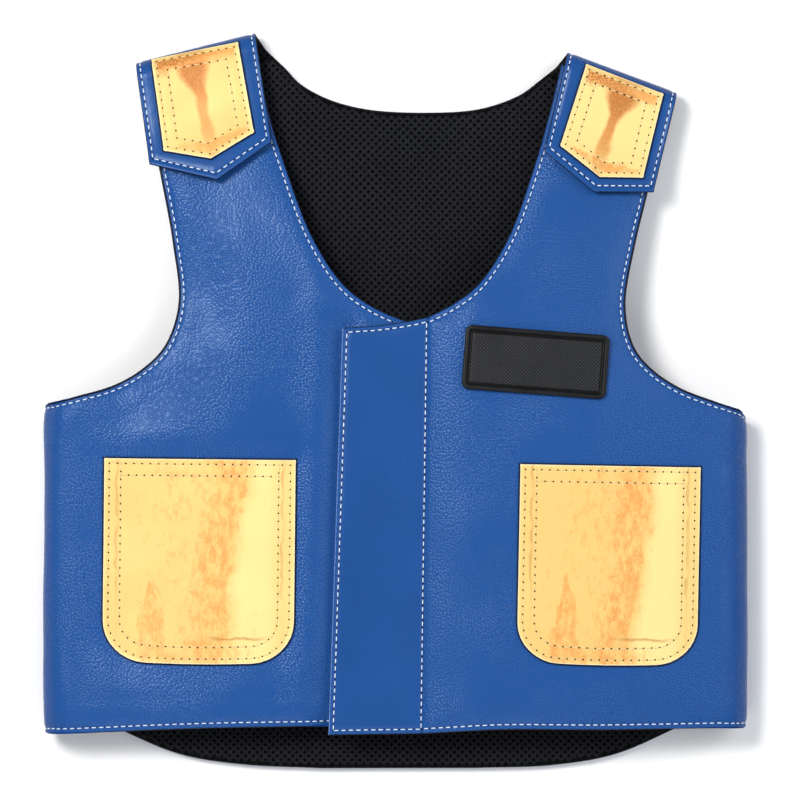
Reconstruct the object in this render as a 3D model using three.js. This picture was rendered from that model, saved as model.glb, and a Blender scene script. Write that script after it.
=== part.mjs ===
// Bull riding vest, fastened and lying on its back.
// Millimetres. X points to the wearer's left, Y to the shoulders, Z out of the chest, and it lies on Z = 0.
import * as THREE from "three";

// Driving sizes
const CHEST_WIDTH = 508;
const SIDE_HEIGHT = 44;
const SHOULDER_FOLD_HEIGHT = 26;
const FRONT_THICKNESS = 9;
const SEWN_EDGE_THICKNESS = 3.6;
const EDGE_DROP = 3.2;
const EDGE_ROLL_WIDTH = 20;
const SIDE_ROLL_SHARE = 0.4;
const CROWN_HEIGHT = 6;
const BACK_THICKNESS = 8;
const BACK_EDGE_ROUNDING = 3;
const LINING_THICKNESS = 2;
const LINING_INSET = 2.5;
const TAB_THICKNESS = 3.2;
const FLAP_THICKNESS = 2.6;
const PATCH_THICKNESS = 1.4;
const SIDE_SEAM_X = 211;
const SHOULDER_SEAM_DEPTH = 30;
const SHOULDER_SLOPE_LENGTH = 175;
const PIECE_GAP = 0.3;

// Sizes that follow from the driving sizes
const SIDE_RADIUS = SIDE_HEIGHT / 2;
const BEND_START_X = CHEST_WIDTH / 2 - SIDE_RADIUS;
const FOLD_RADIUS = SHOULDER_FOLD_HEIGHT / 2;
const SHOULDER_HEIGHT = SHOULDER_FOLD_HEIGHT - TAB_THICKNESS - PIECE_GAP;

// Where the crown and the lap of a front fade out towards the shoulder
const CROWN_FADE = { start: -30, end: 100 };
const LAP_FADE = { start: 30, end: 150 };
const FRONT_MIDDLE_X = 20;

// How finely the grids are divided
const EDGE_STEPS = [0, 3, 8, 20];
const BEND_ANGLES_DEG = [-90, -62, -32, 0, 32, 62];
const SHOULDER_ROW_SHARES = [0.13, 0.27, 0.41, 0.55, 0.69, 0.82, 0.91, 0.97, 1];
const CURVE_POINTS = 14;

// Outlines seen from above, one row for each place, as [x, y] on the wearer's right and left
const HEM = [
  { place: "side", right: [-232, -238.8], left: [232, -234.8] },
  { place: "middle", right: [-140.8, -234.7], left: [150, -235.6] },
  { place: "inner", right: [-48.6, -233.3], left: [75.2, -235.4] },
  { place: "front edge", right: [14, -232.6], left: [19, -238.4] },
];
const ARMHOLE = [
  { place: "underarm", right: [-232, 3.6], left: [232, -1.2] },
  { place: "low", right: [-202, 12.2], left: [204.8, 9.2] },
  { place: "turning in", right: [-181.1, 23.8], left: [184, 23] },
  { place: "turn", right: [-165.6, 40], left: [171, 39.4] },
  { place: "notch", right: [-156, 70], left: [165.2, 68] },
  { place: "middle", right: [-160.4, 114], left: [172.4, 112] },
  { place: "high", right: [-168.8, 160], left: [180.4, 144.7] },
  { place: "shoulder", right: [-184, 234], left: [198, 214.5] },
];
const ARMHOLE_TURN = 3 / 7;
const NECKLINE = [
  { place: "front edge", right: [17, 53.8], left: [23, 60.1] },
  { place: "low", right: [-12.6, 65.6], left: [40, 68.8] },
  { place: "turn", right: [-36, 82.2], left: [58.6, 82.8] },
  { place: "middle", right: [-58.7, 115.9], left: [80.3, 115.9] },
  { place: "high", right: [-78.4, 166.6], left: [99, 166.5] },
  { place: "under the tab", right: [-91.4, 208], left: [110, 204] },
  { place: "shoulder", right: [-100, 254.5], left: [119.6, 242.6] },
];
const NECKLINE_TURN = 2 / 6;
const FLAP_TOP = [
  { place: "free corner", at: [-38, 52.3] },
  { place: "middle", at: [-13.7, 54] },
  { place: "neck", at: [6, 56.6] },
  { place: "seam", at: [22.7, 60] },
];
const FLAP_FOOT = { free: [-48, -239.3], seam: [18.7, -238.4] };

// Back outline, from the middle of the tail to the neck, as [x, y] on the right and left
const TAIL = [
  { place: "flat", right: [-54.4, -265.7], left: [60, -265.5] },
  { place: "bend", right: [-112, -262.8], left: [112.7, -263.5] },
  { place: "rise", right: [-158, -254.9], left: [158.8, -255.6] },
  { place: "side seam", right: [-SIDE_SEAM_X, -232.5], left: [SIDE_SEAM_X, -233] },
];
const BACK_ARMHOLE = [
  { place: "underarm", right: [-SIDE_SEAM_X, -2], left: [SIDE_SEAM_X, -4] },
  { place: "low", right: [-178, 17], left: [180, 16] },
  { place: "turn", right: [-157, 42], left: [162, 42] },
  { place: "notch", right: [-150, 74], left: [158, 74] },
  { place: "high", right: [-160, 142], left: [172, 132] },
];
const BACK_NECK = [
  { place: "shoulder", right: [-70, 230.3], left: [90, 221.4] },
  { place: "turn", right: [-48.6, 218.4], left: [66.6, 212.6] },
  { place: "low", right: [-16, 210.4], left: [43.6, 209.2] },
];

// Shoulder tabs and their patches, corners as [x, y] on the right and left
const TAB = {
  foldInner: { right: [-101.2, 265.7], left: [124.2, 252] },
  foldOuter: { right: [-187.6, 244.1], left: [203.4, 222.5] },
  innerCorner: { right: [-88.9, 185.8], left: [106.9, 179.3] },
  tip: { right: [-127.8, 158.4], left: [142.2, 149.8] },
  outerCorner: { right: [-176.8, 169.9], left: [185.4, 149.8] },
};
const SHOULDER_PATCH = {
  foldInner: { right: [-113.4, 257.4], left: [137.2, 241.6] },
  foldOuter: { right: [-175.3, 244.8], left: [192.4, 220.3] },
  innerCorner: { right: [-101.9, 193], left: [118.6, 183.5] },
  tip: { right: [-132.5, 174.2], left: [146.7, 160.9] },
  outerCorner: { right: [-166.3, 180], left: [177.7, 160.6] },
};
// How much wider than the tab the strap is at its neck side, below the fold and at the seam
const NECK_FLARE = { below: 8.5, seam: 14.5 };

// Patches sewn on the fronts
const CHEST_PATCHES = {
  right: { centre: [-140.9, -115.6], width: 137, height: 147.6, corner: 33, tiltDeg: -0.6 },
  left: { centre: [152.6, -118.2], width: 129, height: 143.4, corner: 32, tiltDeg: -1.1 },
};
const BADGE = {
  centre: [100.3, 27.9],
  width: 103.5,
  height: 46,
  corner: 5,
  tiltDeg: -4.4,
  fieldThickness: 2.2,
  rimWidth: 3.6,
  rimRise: 1,
};

// Finishes
const BLUE_LEATHER = { color: 0x365ea3, roughness: 0.5, metalness: 0 };
const GOLD_FOIL = { color: 0xf6d68a, roughness: 0.3, metalness: 0.6 };
const BLACK_MESH = { color: 0x1c1d21, roughness: 0.9, metalness: 0 };
const BLACK_RUBBER = { color: 0x36373b, roughness: 0.6, metalness: 0 };

const SIDES = { right: sideOf("right", -1), left: sideOf("left", 1) };

// The outline curves of one side, and the line that its shoulder is folded on
function sideOf(name, sign) {
  const foldInner = new THREE.Vector2(...TAB.foldInner[name]);
  const foldOuter = new THREE.Vector2(...TAB.foldOuter[name]);
  const outward = foldOuter.clone().sub(foldInner).normalize();
  const inward = new THREE.Vector2(outward.y, -outward.x).multiplyScalar(sign);
  return {
    name,
    sign,
    foldInner,
    outward,
    inward,
    hem: curveThrough(HEM, name),
    armhole: curveThrough(ARMHOLE, name),
    neckline: curveThrough(NECKLINE, name),
    lap: sign > 0 ? FLAP_THICKNESS + PIECE_GAP + EDGE_DROP : 0,
  };
}

function curveThrough(table, column) {
  const points = table.map((row) => new THREE.Vector3(...row[column], 0));
  return new THREE.CatmullRomCurve3(points, false, "centripetal");
}

function smooth(share) {
  return THREE.MathUtils.smoothstep(share, 0, 1);
}

function fade(value, range) {
  return 1 - THREE.MathUtils.smoothstep(value, range.start, range.end);
}

// The point of a curve at the given x, between two places on the curve
function pointAtX(curve, x, start, end) {
  const rising = curve.getPoint(end).x > curve.getPoint(start).x;
  let low = start;
  let high = end;
  for (let step = 0; step < 40; step += 1) {
    const middle = (low + high) / 2;
    if (curve.getPoint(middle).x < x === rising) low = middle;
    else high = middle;
  }
  return curve.getPoint(low);
}

// Distances across a width, close together next to a sewn edge
function stepsAcross(width, parts, sewnStart, sewnEnd) {
  const first = sewnStart ? EDGE_STEPS : [0];
  const last = sewnEnd ? EDGE_STEPS : [0];
  const from = first.at(-1);
  const to = width - last.at(-1);
  const between = [];
  for (let part = 1; part < parts; part += 1) between.push(from + ((to - from) * part) / parts);
  return [...first, ...between, ...[...last].reverse().map((distance) => width - distance)];
}

// How far along the fold a point is, and how far it is from the fold towards the chest
function shoulderPlace(side, x, y) {
  const offset = new THREE.Vector2(x, y).sub(side.foldInner);
  return { along: offset.dot(side.outward), depth: offset.dot(side.inward) };
}

function shoulderPoint(side, along, depth, z) {
  const { foldInner, outward, inward } = side;
  const x = foldInner.x + outward.x * along + inward.x * depth;
  const y = foldInner.y + outward.y * along + inward.y * depth;
  return new THREE.Vector3(x, y, z);
}

// Height of the outer face of a front, before it rolls down to its sewn edges
function frontHeight(side, x, y) {
  const { depth } = shoulderPlace(side, x, y);
  const slope = smooth((depth - FOLD_RADIUS) / SHOULDER_SLOPE_LENGTH);
  const width = BEND_START_X - FRONT_MIDDLE_X;
  const across = THREE.MathUtils.clamp((side.sign * x - FRONT_MIDDLE_X) / width, 0, 1);
  const crown = CROWN_HEIGHT * Math.sin(Math.PI * across) ** 2 * fade(y, CROWN_FADE);
  const lap = side.lap * (1 - smooth(across)) * fade(y, LAP_FADE);
  return SHOULDER_HEIGHT + (SIDE_HEIGHT - SHOULDER_HEIGHT) * slope + crown + lap;
}

// How far a point is from the nearest sewn edge of a front
function edgeDistance(side, x, y) {
  const point = new THREE.Vector3(x, y, 0);
  const nearest = new THREE.Vector3();
  const frontEdge = [side.hem.getPoint(1), side.neckline.getPoint(0)];
  const shoulderEnd = [side.armhole.getPoint(1), side.neckline.getPoint(1)];
  const edges = [
    side.hem.getPoints(CURVE_POINTS),
    side.armhole.getPoints(3 * CURVE_POINTS),
    side.neckline.getPoints(3 * CURVE_POINTS),
    frontEdge,
    shoulderEnd,
  ];
  let distance = Infinity;
  for (const edge of edges) {
    for (let index = 1; index < edge.length; index += 1) {
      new THREE.Line3(edge[index - 1], edge[index]).closestPointToPoint(point, true, nearest);
      distance = Math.min(distance, nearest.distanceTo(point));
    }
  }
  return distance;
}

// Drop of the outer face and thickness of a padded front at a distance from its sewn edge
function edgeRoll(distance) {
  const share = Math.max(0, 1 - distance / EDGE_ROLL_WIDTH) ** 2;
  const thinning = FRONT_THICKNESS - SEWN_EDGE_THICKNESS;
  return { drop: EDGE_DROP * share, thickness: FRONT_THICKNESS - thinning * share };
}

function frontTop(side, x, y) {
  return frontHeight(side, x, y) - edgeRoll(edgeDistance(side, x, y)).drop;
}

// A point of a sheet: its outer face at one height and its inner face straight below
function sheetPoint(x, y, top, thickness) {
  return { outer: new THREE.Vector3(x, y, top), inner: new THREE.Vector3(x, y, top - thickness) };
}

// A closed solid between the outer and inner faces of a grid of points; cells with a missing corner are left out
function solidFromGrid(grid) {
  const positions = [];
  const numbered = grid.map((row) =>
    row.map((point) => {
      if (!point) return null;
      positions.push(point.outer.toArray(), point.inner.toArray());
      return positions.length - 2;
    }),
  );
  const triangles = [];
  const directed = new Set();
  for (let row = 1; row < grid.length; row += 1) {
    for (let column = 1; column < grid[row].length; column += 1) {
      const cell = [
        numbered[row - 1][column - 1],
        numbered[row - 1][column],
        numbered[row][column],
        numbered[row][column - 1],
      ];
      if (cell.includes(null)) continue;
      const [a, b, c, d] = cell;
      triangles.push([a, b, c], [a, c, d], [a + 1, c + 1, b + 1], [a + 1, d + 1, c + 1]);
      cell.forEach((corner, index) => directed.add(`${corner},${cell[(index + 1) % 4]}`));
    }
  }
  for (const edge of directed) {
    const [from, to] = edge.split(",").map(Number);
    if (directed.has(`${to},${from}`)) continue;
    triangles.push([to, from, from + 1], [to, from + 1, to + 1]);
  }
  const volume = triangles.reduce((sum, corners) => {
    const [a, b, c] = corners.map((corner) => new THREE.Vector3(...positions[corner]));
    return sum + a.dot(b.cross(c));
  }, 0);
  const facing = volume > 0 ? triangles : triangles.map(([a, b, c]) => [a, c, b]);
  const geometry = new THREE.BufferGeometry();
  geometry.setAttribute("position", new THREE.Float32BufferAttribute(positions.flat(), 3));
  geometry.setIndex(facing.flat());
  geometry.computeVertexNormals();
  return geometry;
}

// A padded front: a grid from the hem to the shoulder that also runs round the side fold to the side seam
function frontPanel(side) {
  const { armhole, neckline, hem, sign } = side;
  const underarmX = armhole.getPoint(0).x;
  const armTurn = armhole.getPoint(ARMHOLE_TURN);
  const neckTurn = neckline.getPoint(NECKLINE_TURN);
  const frontEdge = neckline.getPoint(0);
  const heads = [];
  const underarmParts = 4;
  for (let part = 0; part < underarmParts; part += 1) {
    const x = THREE.MathUtils.lerp(underarmX, armTurn.x, part / underarmParts);
    heads.push(pointAtX(armhole, x, 0, ARMHOLE_TURN));
  }
  const firstShoulderColumn = heads.length;
  const chestRow = rowBetween(armTurn, neckTurn);
  heads.push(...chestRow);
  const neckWidth = Math.abs(frontEdge.x - neckTurn.x);
  for (const distance of stepsAcross(neckWidth, 2, false, true).slice(1)) {
    heads.push(pointAtX(neckline, neckTurn.x - sign * distance, NECKLINE_TURN, 0));
  }
  const slant = hem.getPoint(1).x - frontEdge.x;
  const columns = heads.map((head) => {
    const share = Math.max(0, (sign * (neckTurn.x - head.x)) / neckWidth);
    const x = head.x + slant * share;
    const foot = pointAtX(hem, x, 0, 1);
    const length = head.distanceTo(foot);
    return stepsAcross(length, 6, true, true).map((step) => foot.clone().lerp(head, step / length));
  });
  const sideColumns = sideBend(side, columns[0]);
  const grid = columns[0].map((_, row) => [
    ...sideColumns.map((column) => column[row]),
    ...columns.map((column) => frontPoint(side, column[row])),
  ]);
  const shoulderRows = SHOULDER_ROW_SHARES.map((share) => {
    const outer = armhole.getPoint(THREE.MathUtils.lerp(ARMHOLE_TURN, 1, share));
    const inner = neckline.getPoint(THREE.MathUtils.lerp(NECKLINE_TURN, 1, share));
    return rowBetween(outer, inner);
  });
  const missingBefore = Array(sideColumns.length + firstShoulderColumn).fill(null);
  const missingAfter = Array(columns.length - firstShoulderColumn - chestRow.length).fill(null);
  for (const points of shoulderRows) {
    const row = points.map((point) => frontPoint(side, point));
    grid.push([...missingBefore, ...row, ...missingAfter]);
  }
  return solidFromGrid(grid);
}

// A row of the shoulder part, sewn at the armhole and at the neck
function rowBetween(outer, inner) {
  const width = outer.distanceTo(inner);
  return stepsAcross(width, 3, true, true).map((step) => outer.clone().lerp(inner, step / width));
}

function frontPoint(side, point) {
  const { drop, thickness } = edgeRoll(edgeDistance(side, point.x, point.y));
  return sheetPoint(point.x, point.y, frontHeight(side, point.x, point.y) - drop, thickness);
}

// The columns that run round the side fold, from the side seam below up to the front
function sideBend(side, frontColumn) {
  const { sign } = side;
  const hemY = frontColumn[0].y;
  const underarmY = frontColumn.at(-1).y;
  const length = underarmY - hemY;
  const sideDip = { hem: 1.5, underarm: 9 };
  const seam = { seamX: sign * (SIDE_SEAM_X + PIECE_GAP), angle: -Math.PI / 2 };
  const places = [seam, ...BEND_ANGLES_DEG.map((degrees) => ({ angle: THREE.MathUtils.degToRad(degrees) }))];
  return places.map(({ seamX, angle }) => {
    const dip = Math.min(1, 1 - Math.sin(angle));
    const start = hemY - sideDip.hem * dip;
    const end = underarmY - sideDip.underarm * dip;
    const rollShare = THREE.MathUtils.lerp(SIDE_ROLL_SHARE, 1, Math.max(0, Math.sin(angle)));
    return frontColumn.map((point) => {
      const { drop, thickness } = edgeRoll(Math.min(point.y - hemY, underarmY - point.y));
      const y = THREE.MathUtils.lerp(start, end, (point.y - hemY) / length);
      const outerRadius = SIDE_RADIUS - drop * rollShare;
      const onBend = (radius) => {
        const x = seamX ?? sign * (BEND_START_X + radius * Math.cos(angle));
        return new THREE.Vector3(x, y, SIDE_RADIUS + radius * Math.sin(angle));
      };
      return { outer: onBend(outerRadius), inner: onBend(outerRadius - thickness) };
    });
  });
}

// The closing flap, lying on the right front and butting the left front at its seam
function frontFlap() {
  const columns = 5;
  const rows = 12;
  const top = curveThrough(FLAP_TOP, "at");
  const free = new THREE.Vector3(...FLAP_FOOT.free, 0);
  const seam = new THREE.Vector3(...FLAP_FOOT.seam, 0);
  const grid = [];
  for (let row = 0; row <= rows; row += 1) {
    const line = [];
    for (let column = 0; column <= columns; column += 1) {
      const share = column / columns;
      const foot = free.clone().lerp(seam, share);
      const point = foot.lerp(top.getPoint(share), row / rows);
      const below = frontHeight(SIDES.right, point.x, point.y) + PIECE_GAP;
      line.push(sheetPoint(point.x, point.y, below + FLAP_THICKNESS, FLAP_THICKNESS));
    }
    grid.push(line);
  }
  return solidFromGrid(grid);
}

// A point on the outer face of a shoulder tab, lifted off it, between the front and the crest of the fold
function tabSurface(side, along, depth, lift) {
  if (depth >= FOLD_RADIUS) {
    const flat = shoulderPoint(side, along, depth, 0);
    const height = frontHeight(side, flat.x, flat.y) + PIECE_GAP + TAB_THICKNESS;
    return flat.setZ(height + lift);
  }
  return foldPoint(side, along, Math.asin((FOLD_RADIUS - depth) / FOLD_RADIUS), FOLD_RADIUS + lift);
}

// A point of the shoulder fold at an angle from its top, on a given radius
function foldPoint(side, along, angle, radius) {
  const depth = FOLD_RADIUS - radius * Math.sin(angle);
  return shoulderPoint(side, along, depth, FOLD_RADIUS + radius * Math.cos(angle));
}

// The places of a five-cornered outline along and from the fold, and shares across it with one at its tip
function pentagonOf(corners, side) {
  const place = (corner) => shoulderPlace(side, ...corners[corner][side.name]);
  const pentagon = {
    foldInner: place("foldInner"),
    foldOuter: place("foldOuter"),
    innerCorner: place("innerCorner"),
    tip: place("tip"),
    outerCorner: place("outerCorner"),
  };
  const { innerCorner, tip, outerCorner } = pentagon;
  const tipShare = (tip.along - innerCorner.along) / (outerCorner.along - innerCorner.along);
  const halves = [0, 0.25, 0.5, 0.75, 1];
  const toTip = halves.map((half) => half * tipShare);
  const fromTip = halves.slice(1).map((half) => tipShare + half * (1 - tipShare));
  return { ...pentagon, tipShare, shares: [...toTip, ...fromTip] };
}

function between(from, to, share) {
  return {
    along: THREE.MathUtils.lerp(from.along, to.along, share),
    depth: THREE.MathUtils.lerp(from.depth, to.depth, share),
  };
}

// A place on the pointed end of a five-cornered outline
function onPointedEnd({ innerCorner, tip, outerCorner, tipShare }, share) {
  if (share <= tipShare) return between(innerCorner, tip, share / tipShare);
  return between(tip, outerCorner, (share - tipShare) / (1 - tipShare));
}

// A shoulder strap: from its seam on the back, round the fold, to its pointed end on the front
function shoulderTab(side) {
  const pentagon = pentagonOf(TAB, side);
  const { foldInner, foldOuter, innerCorner, outerCorner, shares } = pentagon;
  const bendInner = between(foldInner, innerCorner, FOLD_RADIUS / innerCorner.depth);
  const bendOuter = between(foldOuter, outerCorner, FOLD_RADIUS / outerCorner.depth);
  const grid = [];
  const frontRows = 7;
  for (let row = 0; row < frontRows; row += 1) {
    grid.push(
      shares.map((share) => {
        const end = onPointedEnd(pentagon, share);
        const place = between(end, between(bendInner, bendOuter, share), row / frontRows);
        const outer = tabSurface(side, place.along, place.depth, 0);
        return { outer, inner: outer.clone().setZ(outer.z - TAB_THICKNESS) };
      }),
    );
  }
  const foldSteps = 8;
  for (let step = 0; step <= foldSteps; step += 1) {
    const angle = (Math.PI * step) / foldSteps;
    const crest = Math.sin(angle);
    const flare = step > foldSteps / 2 ? NECK_FLARE.below * (1 - crest) : 0;
    const inner = THREE.MathUtils.lerp(bendInner.along, foldInner.along, crest) - flare;
    const outer = THREE.MathUtils.lerp(bendOuter.along, foldOuter.along, crest);
    grid.push(
      shares.map((share) => {
        const along = THREE.MathUtils.lerp(inner, outer, share);
        return {
          outer: foldPoint(side, along, angle, FOLD_RADIUS),
          inner: foldPoint(side, along, angle, FOLD_RADIUS - TAB_THICKNESS),
        };
      }),
    );
  }
  const seam = seamOf(side);
  grid.push(
    shares.map((share) => {
      const along = THREE.MathUtils.lerp(seam.inner, seam.outer, share);
      const outer = shoulderPoint(side, along, SHOULDER_SEAM_DEPTH, 0);
      return { outer, inner: outer.clone().setZ(TAB_THICKNESS) };
    }),
  );
  return solidFromGrid(grid);
}

// Where the seam of a shoulder strap starts and ends along the fold
function seamOf(side) {
  const { foldInner, foldOuter, innerCorner, outerCorner } = pentagonOf(TAB, side);
  const inner = between(foldInner, innerCorner, SHOULDER_SEAM_DEPTH / innerCorner.depth).along;
  const outer = between(foldOuter, outerCorner, SHOULDER_SEAM_DEPTH / outerCorner.depth).along;
  return { inner: inner - NECK_FLARE.seam, outer };
}

// A five-cornered patch on a shoulder tab
function shoulderPatch(side) {
  const pentagon = pentagonOf(SHOULDER_PATCH, side);
  const rowShares = [0, 0.05, 0.11, 0.2, 0.4, 0.6, 0.8, 1];
  const grid = rowShares.map((rowShare) =>
    pentagon.shares.map((share) => {
      const start = between(pentagon.foldInner, pentagon.foldOuter, share);
      const place = between(start, onPointedEnd(pentagon, share), rowShare);
      return {
        outer: tabSurface(side, place.along, place.depth, PIECE_GAP + PATCH_THICKNESS),
        inner: tabSurface(side, place.along, place.depth, PIECE_GAP),
      };
    }),
  );
  return solidFromGrid(grid);
}

// A point of a patch given in the patch's own directions
function patchPlace({ centre, tiltDeg }, across, up) {
  const turned = new THREE.Vector2(across, up).rotateAround(
    new THREE.Vector2(),
    THREE.MathUtils.degToRad(tiltDeg),
  );
  return turned.add(new THREE.Vector2(...centre));
}

// How far a rounded corner sets the sides in, at a distance from the end of the patch
function cornerInset(corner, distance) {
  if (distance >= corner) return 0;
  return corner - Math.sqrt(corner ** 2 - (corner - distance) ** 2);
}

// A chest patch with a square top and rounded lower corners
function chestPatch(side) {
  const patch = CHEST_PATCHES[side.name];
  const columns = 8;
  const arcSteps = [0, 0.04, 0.16, 0.36, 0.64, 1].map((share) => share * patch.corner);
  const sideParts = 5;
  const sideSteps = [];
  for (let part = 1; part <= sideParts; part += 1) {
    sideSteps.push(patch.corner + ((patch.height - patch.corner) * part) / sideParts);
  }
  const grid = [...arcSteps, ...sideSteps].map((fromBottom) => {
    const half = patch.width / 2 - cornerInset(patch.corner, fromBottom);
    const line = [];
    for (let column = 0; column <= columns; column += 1) {
      const across = THREE.MathUtils.lerp(-half, half, column / columns);
      const { x, y } = patchPlace(patch, across, fromBottom - patch.height / 2);
      const below = frontTop(side, x, y) + PIECE_GAP;
      line.push(sheetPoint(x, y, below + PATCH_THICKNESS, PATCH_THICKNESS));
    }
    return line;
  });
  return solidFromGrid(grid);
}

// The badge: a flat field inside a raised rim
function badge() {
  const { width, height, corner, fieldThickness, rimWidth, rimRise } = BADGE;
  const rimSteps = [0, 0.8, rimWidth - 0.8, rimWidth];
  const stepsOver = (length, parts) => {
    const start = rimSteps.at(-1);
    const inside = [];
    for (let part = 1; part < parts; part += 1) inside.push(start + ((length - 2 * start) * part) / parts);
    return [...rimSteps, ...inside, ...[...rimSteps].reverse().map((step) => length - step)];
  };
  const grid = stepsOver(height, 3).map((up) => {
    const fromEnd = Math.min(up, height - up);
    const rowWidth = width - 2 * cornerInset(corner, fromEnd);
    return stepsOver(rowWidth, 5).map((across) => {
      const fromRim = Math.min(fromEnd, across, rowWidth - across);
      const onRim = fromRim > 0.5 && fromRim < rimWidth - 0.5;
      const thickness = fieldThickness + (onRim ? rimRise : 0);
      const { x, y } = patchPlace(BADGE, across - rowWidth / 2, up - height / 2);
      const below = frontTop(SIDES.left, x, y) + PIECE_GAP;
      return sheetPoint(x, y, below + thickness, thickness);
    });
  });
  return solidFromGrid(grid);
}

// The outline of the back, counterclockwise from the right side of the tail
function backOutline() {
  const halfOutline = (side) => {
    const tail = curveThrough(TAIL, side.name).getPoints(CURVE_POINTS);
    const seam = seamOf(side);
    const depth = SHOULDER_SEAM_DEPTH + PIECE_GAP;
    const seamOuter = shoulderPoint(side, seam.outer, depth, 0);
    const seamInner = shoulderPoint(side, seam.inner, depth, 0);
    const armholePlaces = BACK_ARMHOLE.map((row) => new THREE.Vector3(...row[side.name], 0));
    const armhole = new THREE.CatmullRomCurve3([...armholePlaces, seamOuter], false, "centripetal");
    return { line: [...tail, ...armhole.getPoints(CURVE_POINTS), seamInner], seamInner };
  };
  const right = halfOutline(SIDES.right);
  const left = halfOutline(SIDES.left);
  const neckRight = BACK_NECK.map((row) => new THREE.Vector3(...row.right, 0));
  const neckLeft = BACK_NECK.map((row) => new THREE.Vector3(...row.left, 0));
  const neckPlaces = [left.seamInner, ...neckLeft, ...neckRight.reverse(), right.seamInner];
  const neck = new THREE.CatmullRomCurve3(neckPlaces, false, "centripetal").getPoints(2 * CURVE_POINTS);
  const loop = [...left.line, ...neck.slice(1, -1), ...right.line.reverse()];
  return loop.map(({ x, y }) => new THREE.Vector2(x, y));
}

// An outline moved in by a distance all round
function insetOutline(outline, distance) {
  return outline.map((point, index) => {
    const before = outline.at(index - 1);
    const after = outline[(index + 1) % outline.length];
    const inwardOf = (from, to) => new THREE.Vector2(from.y - to.y, to.x - from.x).normalize();
    const first = inwardOf(before, point);
    const bisector = first.clone().add(inwardOf(point, after)).normalize();
    return point.clone().addScaledVector(bisector, distance / bisector.dot(first));
  });
}

function backPanel() {
  const geometry = new THREE.ExtrudeGeometry(new THREE.Shape(backOutline()), {
    depth: BACK_THICKNESS - 2 * BACK_EDGE_ROUNDING,
    bevelThickness: BACK_EDGE_ROUNDING,
    bevelSize: BACK_EDGE_ROUNDING,
    bevelOffset: -BACK_EDGE_ROUNDING,
    bevelSegments: 2,
  });
  return geometry.translate(0, 0, BACK_EDGE_ROUNDING);
}

function backLining() {
  const outline = insetOutline(backOutline(), LINING_INSET);
  const geometry = new THREE.ExtrudeGeometry(new THREE.Shape(outline), {
    depth: LINING_THICKNESS,
    bevelEnabled: false,
  });
  return geometry.translate(0, 0, BACK_THICKNESS + PIECE_GAP);
}

const group = new THREE.Group();
group.name = "bull_riding_vest";

function addPiece(name, geometry, finish) {
  const mesh = new THREE.Mesh(geometry, new THREE.MeshStandardMaterial(finish));
  mesh.name = name;
  group.add(mesh);
}

addPiece("back_panel", backPanel(), BLUE_LEATHER);
addPiece("back_lining", backLining(), BLACK_MESH);
addPiece("front_flap", frontFlap(), BLUE_LEATHER);
addPiece("badge", badge(), BLACK_RUBBER);
for (const side of Object.values(SIDES)) {
  addPiece(`front_panel_${side.name}`, frontPanel(side), BLUE_LEATHER);
  addPiece(`shoulder_tab_${side.name}`, shoulderTab(side), BLUE_LEATHER);
  addPiece(`shoulder_patch_${side.name}`, shoulderPatch(side), GOLD_FOIL);
  addPiece(`chest_patch_${side.name}`, chestPatch(side), GOLD_FOIL);
}

export default group;
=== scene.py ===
"""Dresses a packed bull riding vest: padded leather, mesh lining, gold patches, badge and stitching."""

import math

import bmesh
import bpy
import numpy as np
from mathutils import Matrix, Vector, noise
from mathutils.bvhtree import BVHTree
from mathutils.geometry import delaunay_2d_cdt


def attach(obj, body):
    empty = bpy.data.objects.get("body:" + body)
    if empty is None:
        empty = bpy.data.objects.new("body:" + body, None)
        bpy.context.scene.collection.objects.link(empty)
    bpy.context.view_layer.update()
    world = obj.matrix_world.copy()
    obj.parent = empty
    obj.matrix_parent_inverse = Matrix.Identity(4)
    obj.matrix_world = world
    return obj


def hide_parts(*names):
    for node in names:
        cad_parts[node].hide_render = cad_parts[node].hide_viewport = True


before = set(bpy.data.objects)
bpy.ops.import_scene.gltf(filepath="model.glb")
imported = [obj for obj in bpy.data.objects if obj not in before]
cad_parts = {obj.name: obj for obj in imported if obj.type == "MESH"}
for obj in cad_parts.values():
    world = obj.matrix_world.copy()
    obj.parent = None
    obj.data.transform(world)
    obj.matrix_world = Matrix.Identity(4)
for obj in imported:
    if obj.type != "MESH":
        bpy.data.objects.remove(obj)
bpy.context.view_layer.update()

bl_info = {
    "name": "Bull riding vest",
    "version": (1, 0, 0),
    "blender": (4, 5, 0),
    "location": "View3D > Sidebar > Vest",
    "description": "Makes a padded leather riding vest piece by piece",
    "category": "Add Mesh",
}

# Lengths are millimetres unless a heading says metres. X runs to the wearer's left, Y up to the shoulders and
# Z out of the chest
MM = 0.001

# Sizes of the vest
SIDE_HEIGHT = 44.0
SIDE_RADIUS = SIDE_HEIGHT / 2
BEND_START_X = 232.0
SIDE_SEAM_X = 211.0
SHOULDER_FOLD_HEIGHT = 26.0
FOLD_RADIUS = SHOULDER_FOLD_HEIGHT / 2
FOLD_ARC = math.pi * FOLD_RADIUS
SHOULDER_SEAM_DEPTH = 30.0
SHOULDER_SLOPE_LENGTH = 175.0
FRONT_THICKNESS = 9.0
SEWN_EDGE_THICKNESS = 3.6
EDGE_DROP = 3.2
EDGE_ROLL_WIDTH = 20.0
SIDE_ROLL_SHARE = 0.4
CROWN_HEIGHT = 6.0
BACK_THICKNESS = 8.0
BACK_ROUNDING = 3.0
LINING_THICKNESS = 2.0
LINING_INSET = 1.5
LINING_END_DEPTH = 18.0
TAB_THICKNESS = 3.2
FLAP_THICKNESS = 2.6
PATCH_THICKNESS = 1.4
PIECE_GAP = 0.3
BACK_SEAM_DEPTH = SHOULDER_SEAM_DEPTH + PIECE_GAP
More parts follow.
